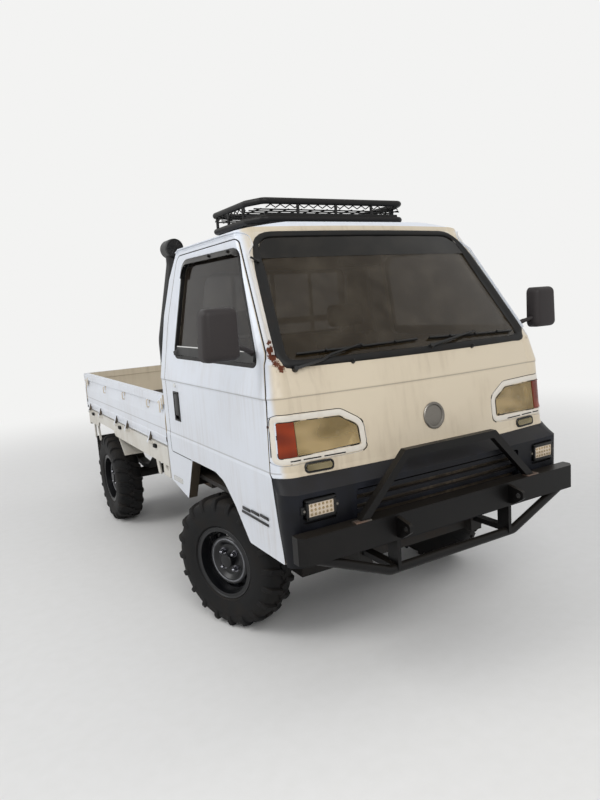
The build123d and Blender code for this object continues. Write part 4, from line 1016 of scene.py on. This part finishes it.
# %% Bezels, diodes, badge and nozzles
bm = bmesh.new()
for sign in SIDES.values():
    pill = [(sign * x, z) for x, z in ((478, 842), (587, 842), (587, 874), (478, 874))]
    line = rounded(pill, 14, step=25)
    strip(bm, line, on_front, [(-3.5, -2), (3.5, -2), (3.5, 4), (1.5, 6), (-3.5, 4)], closed=True)
piece("position_lamp_bezels", bm, trim_abs)
low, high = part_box("small_lamps")
LAMP_FACE_Y = -776
bezel, diodes, glow, ears = (bmesh.new() for _ in range(4))
for sign in SIDES.values():
    for low_x, high_x, low_z, high_z in (
        (513, 635, 750, 763),
        (513, 635, 690, 703),
        (513, 523, 692, 761),
        (625, 635, 692, 761),
    ):
        side_block(bezel, sign, (low_x, -781, low_z), (high_x, -754, high_z), 3)
    for low_x, high_x in ((496, 516), (632, 652)):
        ends = sorted((sign * low_x, sign * high_x))
        block(bezel, (ends[0], -772, 713), (ends[1], -754, 741), 3)
        spot = place(sum(ends) / 2, -772, 727)
        bar(ears, spot, spot + Vector((0, -0.004, 0)), 5, sides=6)
    side_block(glow, sign, (522, LAMP_FACE_Y - 1.5, 702), (626, LAMP_FACE_Y + 2, 751), 1)
    for row in range(3):
        for column in range(6):
            at = place(sign * (534 + 16 * column), LAMP_FACE_Y - 1, 711 + 15.5 * row)
            bar(diodes, at, at + Vector((0, -0.004, 0)), 5.5, sides=12, tip=3)
piece("work_lamp_bezels", bezel, trim_abs)
piece("work_lamp_faces", glow, lamp_face)
piece("work_lamp_bolts", ears, badge_steel)
piece("work_lamp_diodes", diodes, yellowed_lens)
bm = bmesh.new()
spot, normal = on_front(0, 965)
turned(bm, [(-2, 0), (-2, 52), (4, 53), (7, 49), (6, 43), (2.5, 40), (5, 26), (6, 0)], spot, normal, steps=64)
piece("blank_badge", bm, badge_steel)
bm = bmesh.new()
for x, z in ((-340, 1212), (253, 1214)):
    spot, normal = on_front(x, z)
    bar(bm, spot, spot + normal * 0.008, 9, sides=20, tip=7)
    bar(bm, spot + normal * 0.006, spot + normal * 0.013 + Vector((0, 0, 0.006)), 3, sides=10)
piece("washer_nozzles", bm, trim_abs)
bm = bmesh.new()
for sign in SIDES.values():
    for start, end in ((640, 600), (590, 520), (508, 420)):
        line = [(sign * (start + (end - start) * k / 4), 889) for k in range(5)]
        strip(bm, line, on_front, [(-2.4, -2), (2.4, -2), (2.4, 1), (-2.4, 1)])
piece("valance_slots", bm, seal_rubber)
bm = bmesh.new()
for sign in SIDES.values():
    block(bm, (sign * 438 - 34, -838, 656), (sign * 438 + 34, -806, 662), 1.5)
piece("hoop_feet", bm, bare_steel)

# %% [markdown]
# ## Wipers
#
# Two wipers are parked along the foot of the glass. Each has a boss on the scuttle, a tapering pressed arm, a
# bridge at the arm's tip and a long blade with its rubber. The blade has to follow the curved pane, so it is
# swept along points of the skin. These wipers stand for the plain solids of the CAD.

# %% Wiper arms and blades
WIPERS = [
    # the boss, the arm's tip and the blade's two ends, each as (x, z)
    ((-571, 1206), (-286, 1262), (-548, 1252), (-22, 1262)),
    ((27, 1229), (292, 1264), (40, 1262), (544, 1250)),
]
arms, rubbers = bmesh.new(), bmesh.new()
for boss, tip, blade_start, blade_end in WIPERS:
    spot, normal = on_front(*boss)
    bar(arms, spot, spot + normal * 0.02, 12, sides=24, tip=9)
    route = [(boss[0] + (tip[0] - boss[0]) * k / 8, boss[1] + (tip[1] - boss[1]) * k / 8) for k in range(9)]
    lifts = [14, 17, 19, 20, 20, 20, 19, 18, 17]
    found = [on_front(x, z, lift) for (x, z), lift in zip(route, lifts)]
    taper = [(1.2 - 0.07 * k, 1.1 - 0.05 * k) for k in range(9)]
    sweep(
        arms, [p for p, n in found], [n for p, n in found], [(-5, -2), (5, -2), (4, 3), (-4, 3)], grow=taper
    )
    blade_start, blade_end = Vector(blade_start), Vector(blade_end)
    path, ups = along_skin([blade_start.lerp(blade_end, k / 14) for k in range(15)], on_front, lift=8)
    sweep(arms, path, ups, [(-4, 0), (4, 0), (3, 5), (-3, 5)])
    sweep(rubbers, path, ups, [(-2, 0.5), (-0.8, -7), (0.8, -7), (2, 0.5)])
    for k in (3, 7, 11):
        bar(arms, path[k], path[k] + ups[k] * 0.012, 4, sides=10)
blades = piece("wiper_arms", arms, trim_abs)
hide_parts("wipers")
piece("wiper_rubbers", rubbers, seal_rubber)

# %% [markdown]
# ## Tyres
#
# These are small mud tyres: a smooth round carcass with deep separate lugs. Each lug starts near the middle
# of the tread, slants towards the shoulder and wraps down the side, which gives the saw-tooth outline. The
# carcass is one profile spun about the axle. One lug is swept over the shoulder and copied round by spinning
# it, and the other side is the same lug mirrored and moved on by half a pitch. A wheel is built lying about
# the origin with its outer side towards +X and is then put in its place.

# %% One tyre
LUGS = 20
TYRE_PROFILE = [
    (-62, 152), (-62, 165), (-71, 168), (-78, 173), (-79, 181), (-82.5, 196), (-84.5, 214), (-85, 236), (-83, 257),
    (-77, 274), (-64, 286), (-38, 292), (0, 294),
]
TYRE_PROFILE += [(-u, r) for u, r in reversed(TYRE_PROFILE[:-1])] + [TYRE_PROFILE[0]]
LUG_ROUTE = [
    # how far out along the axle, the radius, the slant in degrees, the way up, and the lug's height
    (7, 291, -2.0, (0, 1), 13.0),
    (26, 291, 0.5, (0, 1), 13.5),
    (48, 288, 2.6, (0.12, 1), 14.5),
    (67, 283, 3.6, (0.5, 0.9), 15.0),
    (78, 271, 3.8, (0.95, 0.5), 9.0),
    (83, 258, 3.8, (1, 0.2), 4.0),
    (84.5, 244, 3.8, (1, 0.05), 1.2),
]


def lug(bm, side, turn):
    """One lug over the shoulder. side is 1 for the outer half of the tread and -1 for the inner one."""
    path, ups, grow = [], [], []
    for u, r, slant, (up_u, up_r), height in LUG_ROUTE:
        angle = turn + side * radians(slant)
        outward = Vector((0, cos(angle), sin(angle)))
        path.append(Vector((side * u, 0, 0)) / 1000 + outward * r / 1000)
        ups.append((Vector((side * up_u, 0, 0)) + outward * up_r).normalized())
        grow.append((1.0, height / 10))
    sweep(bm, path, ups, [(-13, -4), (13, -4), (12, 6), (9, 10), (-9, 10), (-12, 6)], grow=grow)


def ring_of(bm, count, start):
    """Copies everything made since start round the axle."""
    fresh = [v for v in bm.verts if v not in start]
    faces = {f for v in fresh for f in v.link_faces}
    edges = {e for v in fresh for e in v.link_edges}
    bmesh.ops.spin(
        bm,
        geom=fresh + list(edges) + list(faces),
        cent=(0, 0, 0),
        axis=(1, 0, 0),
        angle=2 * pi * (count - 1) / count,
        steps=count - 1,
        use_duplicate=True,
    )


tyre = bmesh.new()
turned(tyre, TYRE_PROFILE, Vector((0, 0, 0)), (1, 0, 0), steps=96)
for side, turn in ((1, 0.0), (-1, pi / LUGS)):
    before = set(tyre.verts)
    lug(tyre, side, turn)
    ring_of(tyre, LUGS, before)
before = set(tyre.verts)
made = bmesh.ops.create_cube(tyre, size=1)["verts"]
bmesh.ops.scale(tyre, vec=(0.03, 0.024, 0.014), verts=made)
bmesh.ops.rotate(tyre, cent=(0, 0, 0), matrix=Matrix.Rotation(radians(24), 3, "Z"), verts=made)
bmesh.ops.translate(tyre, vec=(0, 0, 0.2975), verts=made)
bmesh.ops.rotate(tyre, cent=(0, 0, 0), matrix=Matrix.Rotation(radians(4.5), 3, "X"), verts=made)
bmesh.ops.bevel(
    tyre,
    geom=list({e for v in made for e in v.link_edges}),
    offset=0.002,
    segments=1,
    profile=0.5,
    affect="EDGES",
    material=-1,
)
ring_of(tyre, 2 * LUGS, before)
print("a tyre has", len(tyre.faces), "faces")

# %% [markdown]
# ## Wheels
#
# The steel wheels are painted gloss black. A bright ring of bare steel on the crown of the dished disc is partly
# worn paint and partly a painted highlight of the rounded crown, four chromed acorn nuts hold each wheel, and a
# pressed cap covers the bearing. The rim's lip is rolled over, which the CAD's square flange lacks.

# %% Nuts, cap, worn ring and lip
NUT_RADIUS = 50
lip, crown, nuts, cap, valve = (bmesh.new() for _ in range(5))
origin = Vector((0, 0, 0))
lip_section = [(64, 158), (69, 159), (72, 162), (72.5, 165), (70.5, 167), (66, 166), (64, 158)]
turned(lip, lip_section, origin, (1, 0, 0), 72)
# Painted highlight: a bright steel ring on the disc's crown stands for the highlight on its rounded step, as well
# as for wear
turned(
    crown, [(39.6, 94), (41.2, 96), (41.8, 98.5), (41.2, 101), (39.6, 103), (39.6, 94)], origin, (1, 0, 0), 72
)
for k in range(4):
    angle = radians(45 + 90 * k)
    seat = Vector((0.026, NUT_RADIUS / 1000 * cos(angle), NUT_RADIUS / 1000 * sin(angle)))
    bar(nuts, seat, seat + Vector((0.003, 0, 0)), 15, sides=24)
    bar(nuts, seat, seat + Vector((0.016, 0, 0)), 11.5, sides=6)
    turned(nuts, [(14, 9.5), (20, 9.0), (25, 6.5), (28, 3), (29, 0)], seat, (1, 0, 0), 20)
turned(cap, [(24, 31), (52, 31), (54, 29.6), (55.5, 25), (56, 12), (56.5, 0)], origin, (1, 0, 0), 40)
stem = Vector((0.036, 0.128 * cos(2.2), 0.128 * sin(2.2)))
bar(valve, stem, stem + Vector((0.03, 0.004 * cos(2.2), 0.004 * sin(2.2))), 4, sides=12)
WHEEL_PARTS = [
    # what it is, its mesh, its finish, its slot, and the angle that stays sharp
    ("rim_lip", lip, wheel_paint, "wheel_black", 40),
    ("crown_ring", crown, worn_and_highlight_steel, "bare_steel", 60),
    ("wheel_nuts", nuts, nut_chrome, "bare_steel", 30),
    ("bearing_cap", cap, wheel_paint, "wheel_black", 30),
    ("tyre_valve", valve, seal_rubber, "trim_black", 40),
]

# %% [markdown]
# Each wheel's place is read from its CAD tyre's box. A left wheel's outer side is +X already, a right one is
# turned half round, and the front pair is turned by the angle that the truck is parked at.

# %% Four wheels in place
STEER_REST = radians(21.5)
for side, sign in SIDES.items():
    for end in ("front", "rear"):
        low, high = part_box(f"{end}_tyre_{side}")
        turn = (0 if sign > 0 else pi) + (STEER_REST if end == "front" else 0)
        seat = Matrix.Translation((low + high) / 2) @ Matrix.Rotation(turn, 4, "Z")
        body = f"{end}_wheel_{side}"
        bm = tyre.copy()
        bmesh.ops.transform(bm, matrix=seat, verts=bm.verts)
        made = piece(f"mud_tyre_{end}_{side}", bm, tread_rubber, body, smooth=32)
        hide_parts(f"{end}_tyre_{side}")
        for name, part, finish, slot, sharp in WHEEL_PARTS:
            bm = part.copy()
            bmesh.ops.transform(bm, matrix=seat, verts=bm.verts)
            piece(f"{name}_{end}_{side}", bm, finish, body, smooth=sharp)
tyre.free()
for name, part, finish, slot, sharp in WHEEL_PARTS:
    part.free()

# %% [markdown]
# ## Fittings on the drop sides
#
# Loads are tied down with rope over round-bar hooks along each side. The gates are held shut by lever latches
# at their corners, and rubber pads on the rail stop them from rattling when they hang open.

# %% Hooks, latches and pads
for side, sign in SIDES.items():
    gate = "gate_" + side
    bm = bmesh.new()
    for y, z in ((793, 962), (1309, 957), (1808, 952)):
        bends = [(684, 16), (702, 16), (702, -22), (694, -29), (689, -22)]
        loop = [place(sign * x, y, z + rise) for x, rise in bends]
        route = rounded(loop, [0, 0.009, 0.008, 0.005, 0], step=0.05, closed=False)
        octagon = [(4 * cos(pi * k / 4), 4 * sin(pi * k / 4)) for k in range(8)]
        sweep(bm, route, [Vector((0, 1, 0))] * len(route), octagon)
        block(bm, (sign * 688 - 4, y - 16, z - 8), (sign * 688 + 4, y + 16, z + 26), 2)
    piece("rope_hooks_" + side, bm, cab_enamel, gate)
    bm = bmesh.new()
    for y, z in ((556, 984), (2340, 975)):
        block(bm, (sign * 699 - 5, y - 26, z - 34), (sign * 699 + 5, y + 26, z + 26), 3)
        block(bm, (sign * 706 - 5, y - 9, z - 52), (sign * 706 + 5, y + 9, z + 14), 4, segments=3)
        bar(bm, place(sign * 700, y, z + 4), place(sign * 714, y, z + 4), 7, sides=16)
    piece("gate_latches_" + side, bm, cab_enamel, gate)
    bm = bmesh.new()
    for y in (711, 1454, 2222):
        block(bm, (sign * 704 - 7, y - 20, 722), (sign * 704 + 7, y + 20, 742), 3)
    piece("gate_pads_" + side, bm, flap_rubber)
    bm = bmesh.new()
    block(bm, (sign * 694 - 6, 326, 597), (sign * 694 + 6, 450, 622), 5, segments=3)
    piece("side_marker_" + side, bm, clear_lens)
    bm = bmesh.new()
    side_block(bm, sign, (552, 2279, 285), (686, 2284, 552), 2)
    for x in (575, 663):
        bar(bm, place(sign * x, 2276, 546), place(sign * x, 2284, 546), 6, sides=6)
    piece("mud_flap_" + side, bm, flap_rubber)

# %% [markdown]
# ## The basket's net
#
# A net of black shock cord holds small loads in the basket. Each strand is stretched tight between the rails,
# so it is straight, and wire hooks catch the top rail.

# %% Net and hooks
low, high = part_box("roof_basket")
NET_Z = high.z - 0.045
bm = bmesh.new()
hooks = bmesh.new()
inset = 0.04
for k in range(9):
    y = low.y + inset + (high.y - low.y - 2 * inset) * k / 8
    bar(bm, Vector((low.x + 0.02, y, NET_Z)), Vector((high.x - 0.02, y + 0.02, NET_Z)), 3, sides=8)
for k in range(12):
    x = low.x + 0.05 + (high.x - low.x - 0.1) * k / 11
    bar(bm, Vector((x, low.y + 0.03, NET_Z)), Vector((x + 0.01, high.y - 0.02, NET_Z)), 3, sides=8)
# Along the front and both sides the same cord is laced up and down between the two rails
LACING = 15
floor_z, top_z = low.z + 0.082, high.z - 0.014
front = (Vector((low.x + 0.065, low.y + 0.014, 0)), Vector((high.x - 0.065, low.y + 0.014, 0)))
right_side = (Vector((low.x + 0.014, low.y + 0.11, 0)), Vector((low.x + 0.014, high.y - 0.03, 0)))
left_side = (Vector((high.x - 0.014, low.y + 0.11, 0)), Vector((high.x - 0.014, high.y - 0.03, 0)))
for (start, end), turns in ((front, LACING), (right_side, 8), (left_side, 8)):
    for k in range(turns):
        here, there = start.lerp(end, k / turns), start.lerp(end, (k + 1) / turns)
        for from_z, to_z in ((floor_z, top_z), (top_z, floor_z)):
            bar(bm, Vector((here.x, here.y, from_z)), Vector((there.x, there.y, to_z)), 2.5, sides=6)
for x in (low.x + 0.012, high.x - 0.012):
    for part_way in (0.25, 0.6):
        y = low.y + (high.y - low.y) * part_way
        bar(hooks, Vector((x, y, NET_Z - 0.005)), Vector((x, y, high.z - 0.004)), 5, sides=12)
piece("cargo_net", bm, seal_rubber)
piece("net_hooks", hooks, trim_abs)

# %% [markdown]
# ## Clamps on the intake
#
# The raised intake is moulded plastic. Two worm-drive clamps hold its pipe to brackets on the cab's corner,
# and a screen of slots covers the round head's face.

# %% Clamps and slots
bm = bmesh.new()
for z in (860, 1180):
    centre = place(-629, 588, z)
    turned(bm, [(-8, 33.3), (-8, 35.5), (8, 35.5), (8, 33.3)], centre, (0, 0, 1), 40)
    block(bm, (-600, 560, z - 9), (-588, 584, z + 9), 2)
piece("intake_clamps", bm, zinc)
bm = bmesh.new()
head_centre = place(-548, 538, 1758)
turned(
    bm, [(-4, 46), (2, 46), (4, 43), (4, 40), (1, 39), (1, 10), (3, 8), (3, 0)], head_centre, (0, -1, 0), 48
)
for k in range(12):
    angle = 2 * pi * k / 12
    out = Vector((cos(angle), 0, sin(angle)))
    front_centre = head_centre + Vector((0, -0.001, 0))
    bar(bm, front_centre + out * 0.01, front_centre + out * 0.04, 2.2, sides=8)
piece("intake_screen", bm, trim_abs)

# %% [markdown]
# ## Seats
#
# A plain pair of cloth seats can be made out through the glass, each with a cushion, a tall back and a
# headrest. Padded seats are crowned: the cloth is pulled down at the seams and swells between them. Each pad
# starts as a block a little small for its place, is remeshed evenly and blown up by Blender's cloth solver,
# with a cap on how far a point may move, and the result is kept in the mesh.

# %% A pad blown up by the cloth solver
VOXEL = 0.006
CAP = 0.016


def pad(name, low, high, lean=0.0, about=None):
    """A swollen pad between two corners, leant about a point (x, y, z)."""
    bm = bmesh.new()
    block(bm, low, high, 26, segments=3)
    if lean:
        spin_at = place(*about)
        bmesh.ops.rotate(bm, cent=spin_at, matrix=Matrix.Rotation(radians(lean), 3, "X"), verts=bm.verts)
    made = piece(name, bm, cloth, smooth=180)
    bpy.context.view_layer.objects.active = made
    remesh = made.modifiers.new("even", "REMESH")
    remesh.mode = "VOXEL"
    remesh.voxel_size = VOXEL
    settle(made)
    start = [v.co.copy() for v in made.data.vertices]
    solver = made.modifiers.new("swell", "CLOTH")
    solver.settings.use_pressure = True
    solver.settings.uniform_pressure_force = 4
    solver.settings.effector_weights.gravity = 0
    for number in range(1, 21):
        bpy.context.scene.frame_set(number)
    settle(made)
    for vert, was in zip(made.data.vertices, start):
        move = vert.co - was
        if move.length > CAP:
            vert.co = was + move.normalized() * CAP
    bpy.context.scene.frame_set(1)
    subdivision = made.modifiers.new("smooth", "SUBSURF")
    subdivision.levels = subdivision.render_levels = 1
    return made


def settle(made):
    """Keeps the mesh that the modifiers give, and removes them."""
    graph = bpy.context.evaluated_depsgraph_get()
    mesh = bpy.data.meshes.new_from_object(made.evaluated_get(graph))
    made.modifiers.clear()
    old, made.data = made.data, mesh
    bpy.data.meshes.remove(old)
    mesh.shade_smooth()


for side, sign in SIDES.items():
    ends = sorted((sign * 124, sign * 546))
    pad("seat_cushion_" + side, (ends[0], -245, 735), (ends[1], 210, 825))
    pad("seat_back_" + side, (ends[0] + 8, 205, 800), (ends[1] - 8, 290, 1280), -12, (0, 240, 800))
    middle = sign * 335
    pad("headrest_" + side, (middle - 110, 300, 1300), (middle + 110, 368, 1420), -8, (0, 330, 1300))
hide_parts("seats")
bm = bmesh.new()
for sign in SIDES.values():
    for offset in (-50, 50):
        bar(bm, place(sign * 335 + offset, 322, 1240), place(sign * 335 + offset, 334, 1330), 6, sides=12)
piece("headrest_posts", bm, zinc)

# %% [markdown]
# ## Inside the cab
#
# Through the glass the dash shows as a dark shelf with a hooded instrument pack on the right, where this
# truck's driver sits, and a shallow lid on the left. A mirror and two folded visors hang from the roof.

# %% Dash fittings, mirror and visors
bm = bmesh.new()
block(bm, (-470, -600, 1120), (-210, -500, 1172), 18, segments=3)
block(bm, (180, -474, 965), (520, -462, 1050), 8)
block(bm, (-120, -480, 980), (120, -462, 1060), 6)
for x in (-540, 0, 540):
    block(bm, (x - 48, -560, 1076), (x + 48, -474, 1092), 5)
piece("dash_fittings", bm, cabin_abs)
bm = bmesh.new()
for sign in SIDES.values():
    side_block(bm, sign, (70, -262, 1640), (420, -150, 1656), 7, segments=3)
block(bm, (-110, -300, 1580), (110, -276, 1636), 9, segments=3)
bar(bm, place(0, -285, 1625), place(0, -250, 1700), 6, sides=12)
piece("visors_and_mirror", bm, cabin_abs)

# %% [markdown]
# ## The tail
#
# The rear plate is blank enamelled tin on two bolts, with a small hooded lamp above it. The tail lamps have a
# body of black plastic behind the red, and the tailgate's latch levers stand at its corners.

# %% Plate, lamp housings and latches
bm = bmesh.new()
block(bm, (-165, 2404, 632), (165, 2408, 716), 1)
for x in (-100, 100):
    bar(bm, place(x, 2406, 674), place(x, 2412, 674), 6, sides=12)
piece("blank_rear_plate", bm, number_tin)
bm = bmesh.new()
for sign in SIDES.values():
    side_block(bm, sign, (534, 2395, 634), (694, 2424, 641), 2)
    side_block(bm, sign, (534, 2395, 699), (694, 2424, 706), 2)
piece("tail_lamp_housings", bm, trim_abs)
bm = bmesh.new()
for sign in SIDES.values():
    x = sign * 655
    block(bm, (x - 24, 2438, 930), (x + 24, 2446, 1000), 3)
    block(bm, (x - 9, 2444, 915), (x + 9, 2452, 985), 3)
piece("tailgate_latches", bm, cab_enamel, "gate_rear")

# %% [markdown]
# ## The floor and the light
#
# A plain pale floor and a soft overhead light show the shape without a setting. Three large area lamps, high
# at the front and at each side, stand in for an open sky, and the world fills the shadows. The backdrop's
# white is seen only by the camera, by mirrors and through glass, so it doesn't light the truck. The floor's
# far end fades into that same white, which leaves no horizon line.

# %% Stage
BACKDROP = linear("#f3f3f2")


def looked_at(tree):
    """One for a ray from the camera, a mirror or a pane, and nought for a ray that lights a surface."""
    rays = add(tree, "LightPath").outputs
    mirrored = add(
        tree, "Math", {0: rays["Is Glossy Ray"], 1: rays["Is Transmission Ray"]}, operation="MAXIMUM"
    )
    return add(tree, "Math", {0: rays["Is Camera Ray"], 1: mirrored}, operation="MAXIMUM")


floor_bm = bmesh.new()
bmesh.ops.create_grid(floor_bm, x_segments=1, y_segments=1, size=30)
floor_mesh = bpy.data.meshes.new("studio_floor")
floor_bm.to_mesh(floor_mesh)
floor_bm.free()
floor = bpy.data.objects.new("studio_floor", floor_mesh)
bpy.context.scene.collection.objects.link(floor)
floor_paper, tree, where = surface("floor_paper")
fibres = add(tree, "TexNoise", {"Vector": where, "Scale": per_metre(60), "Detail": 4})
tone = add(tree, "Mix", {"Factor": fibres, "A": linear("#e9e8e6"), "B": linear("#e3e2df")}, data_type="RGBA")
paper = add(tree, "BsdfPrincipled", {"Base Color": tone, "Roughness": 0.9})
far_off = add(tree, "VectorMath", {0: where}, operation="LENGTH").outputs["Value"]
fading = add(
    tree, "MapRange", {"Value": far_off, "From Min": 2.4, "From Max": 7.0}, interpolation_type="SMOOTHSTEP"
)
faded = add(tree, "Math", {0: fading, 1: looked_at(tree)}, operation="MULTIPLY")
white = add(tree, "Emission", {"Color": BACKDROP, "Strength": 1.0})
add(tree, "OutputMaterial", {"Surface": add(tree, "MixShader", {0: faded, 1: paper, 2: white})})
floor_mesh.materials.append(floor_paper)


def softbox(name, at, aim, size, watts):
    light = bpy.data.lights.new(name, "AREA")
    light.shape = "SQUARE"
    light.size = size
    light.energy = watts
    lamp = bpy.data.objects.new(name, light)
    lamp.location = at
    lamp.rotation_euler = (Vector(aim) - Vector(at)).to_track_quat("-Z", "Y").to_euler()
    bpy.context.scene.collection.objects.link(lamp)
    return lamp


softbox("sky_front", (-2.0, -6.5, 5.0), (0, -1, 0.8), 4.0, 230)
softbox("sky_right", (-6.5, 1.0, 5.5), (0, 0, 0.8), 4.0, 220)
sky_left = softbox("sky_left", (6.0, -1.0, 6.0), (0, 0, 0.8), 4.0, 110)
# Its square would show in the screen, so mirrors and glass see the backdrop instead
sky_left.visible_glossy = False
world = bpy.data.worlds.new("studio")
world.use_nodes = True
tree = world.node_tree
tree.nodes.clear()
backdrop = add(tree, "Background", {"Color": BACKDROP, "Strength": 1.0})
fill = add(tree, "Background", {"Color": linear("#f4f6fa"), "Strength": 0.5})
add(tree, "OutputWorld", {"Surface": add(tree, "MixShader", {0: looked_at(tree), 1: fill, 2: backdrop})})
bpy.context.scene.world = world
bpy.context.scene.view_settings.view_transform = "Standard"
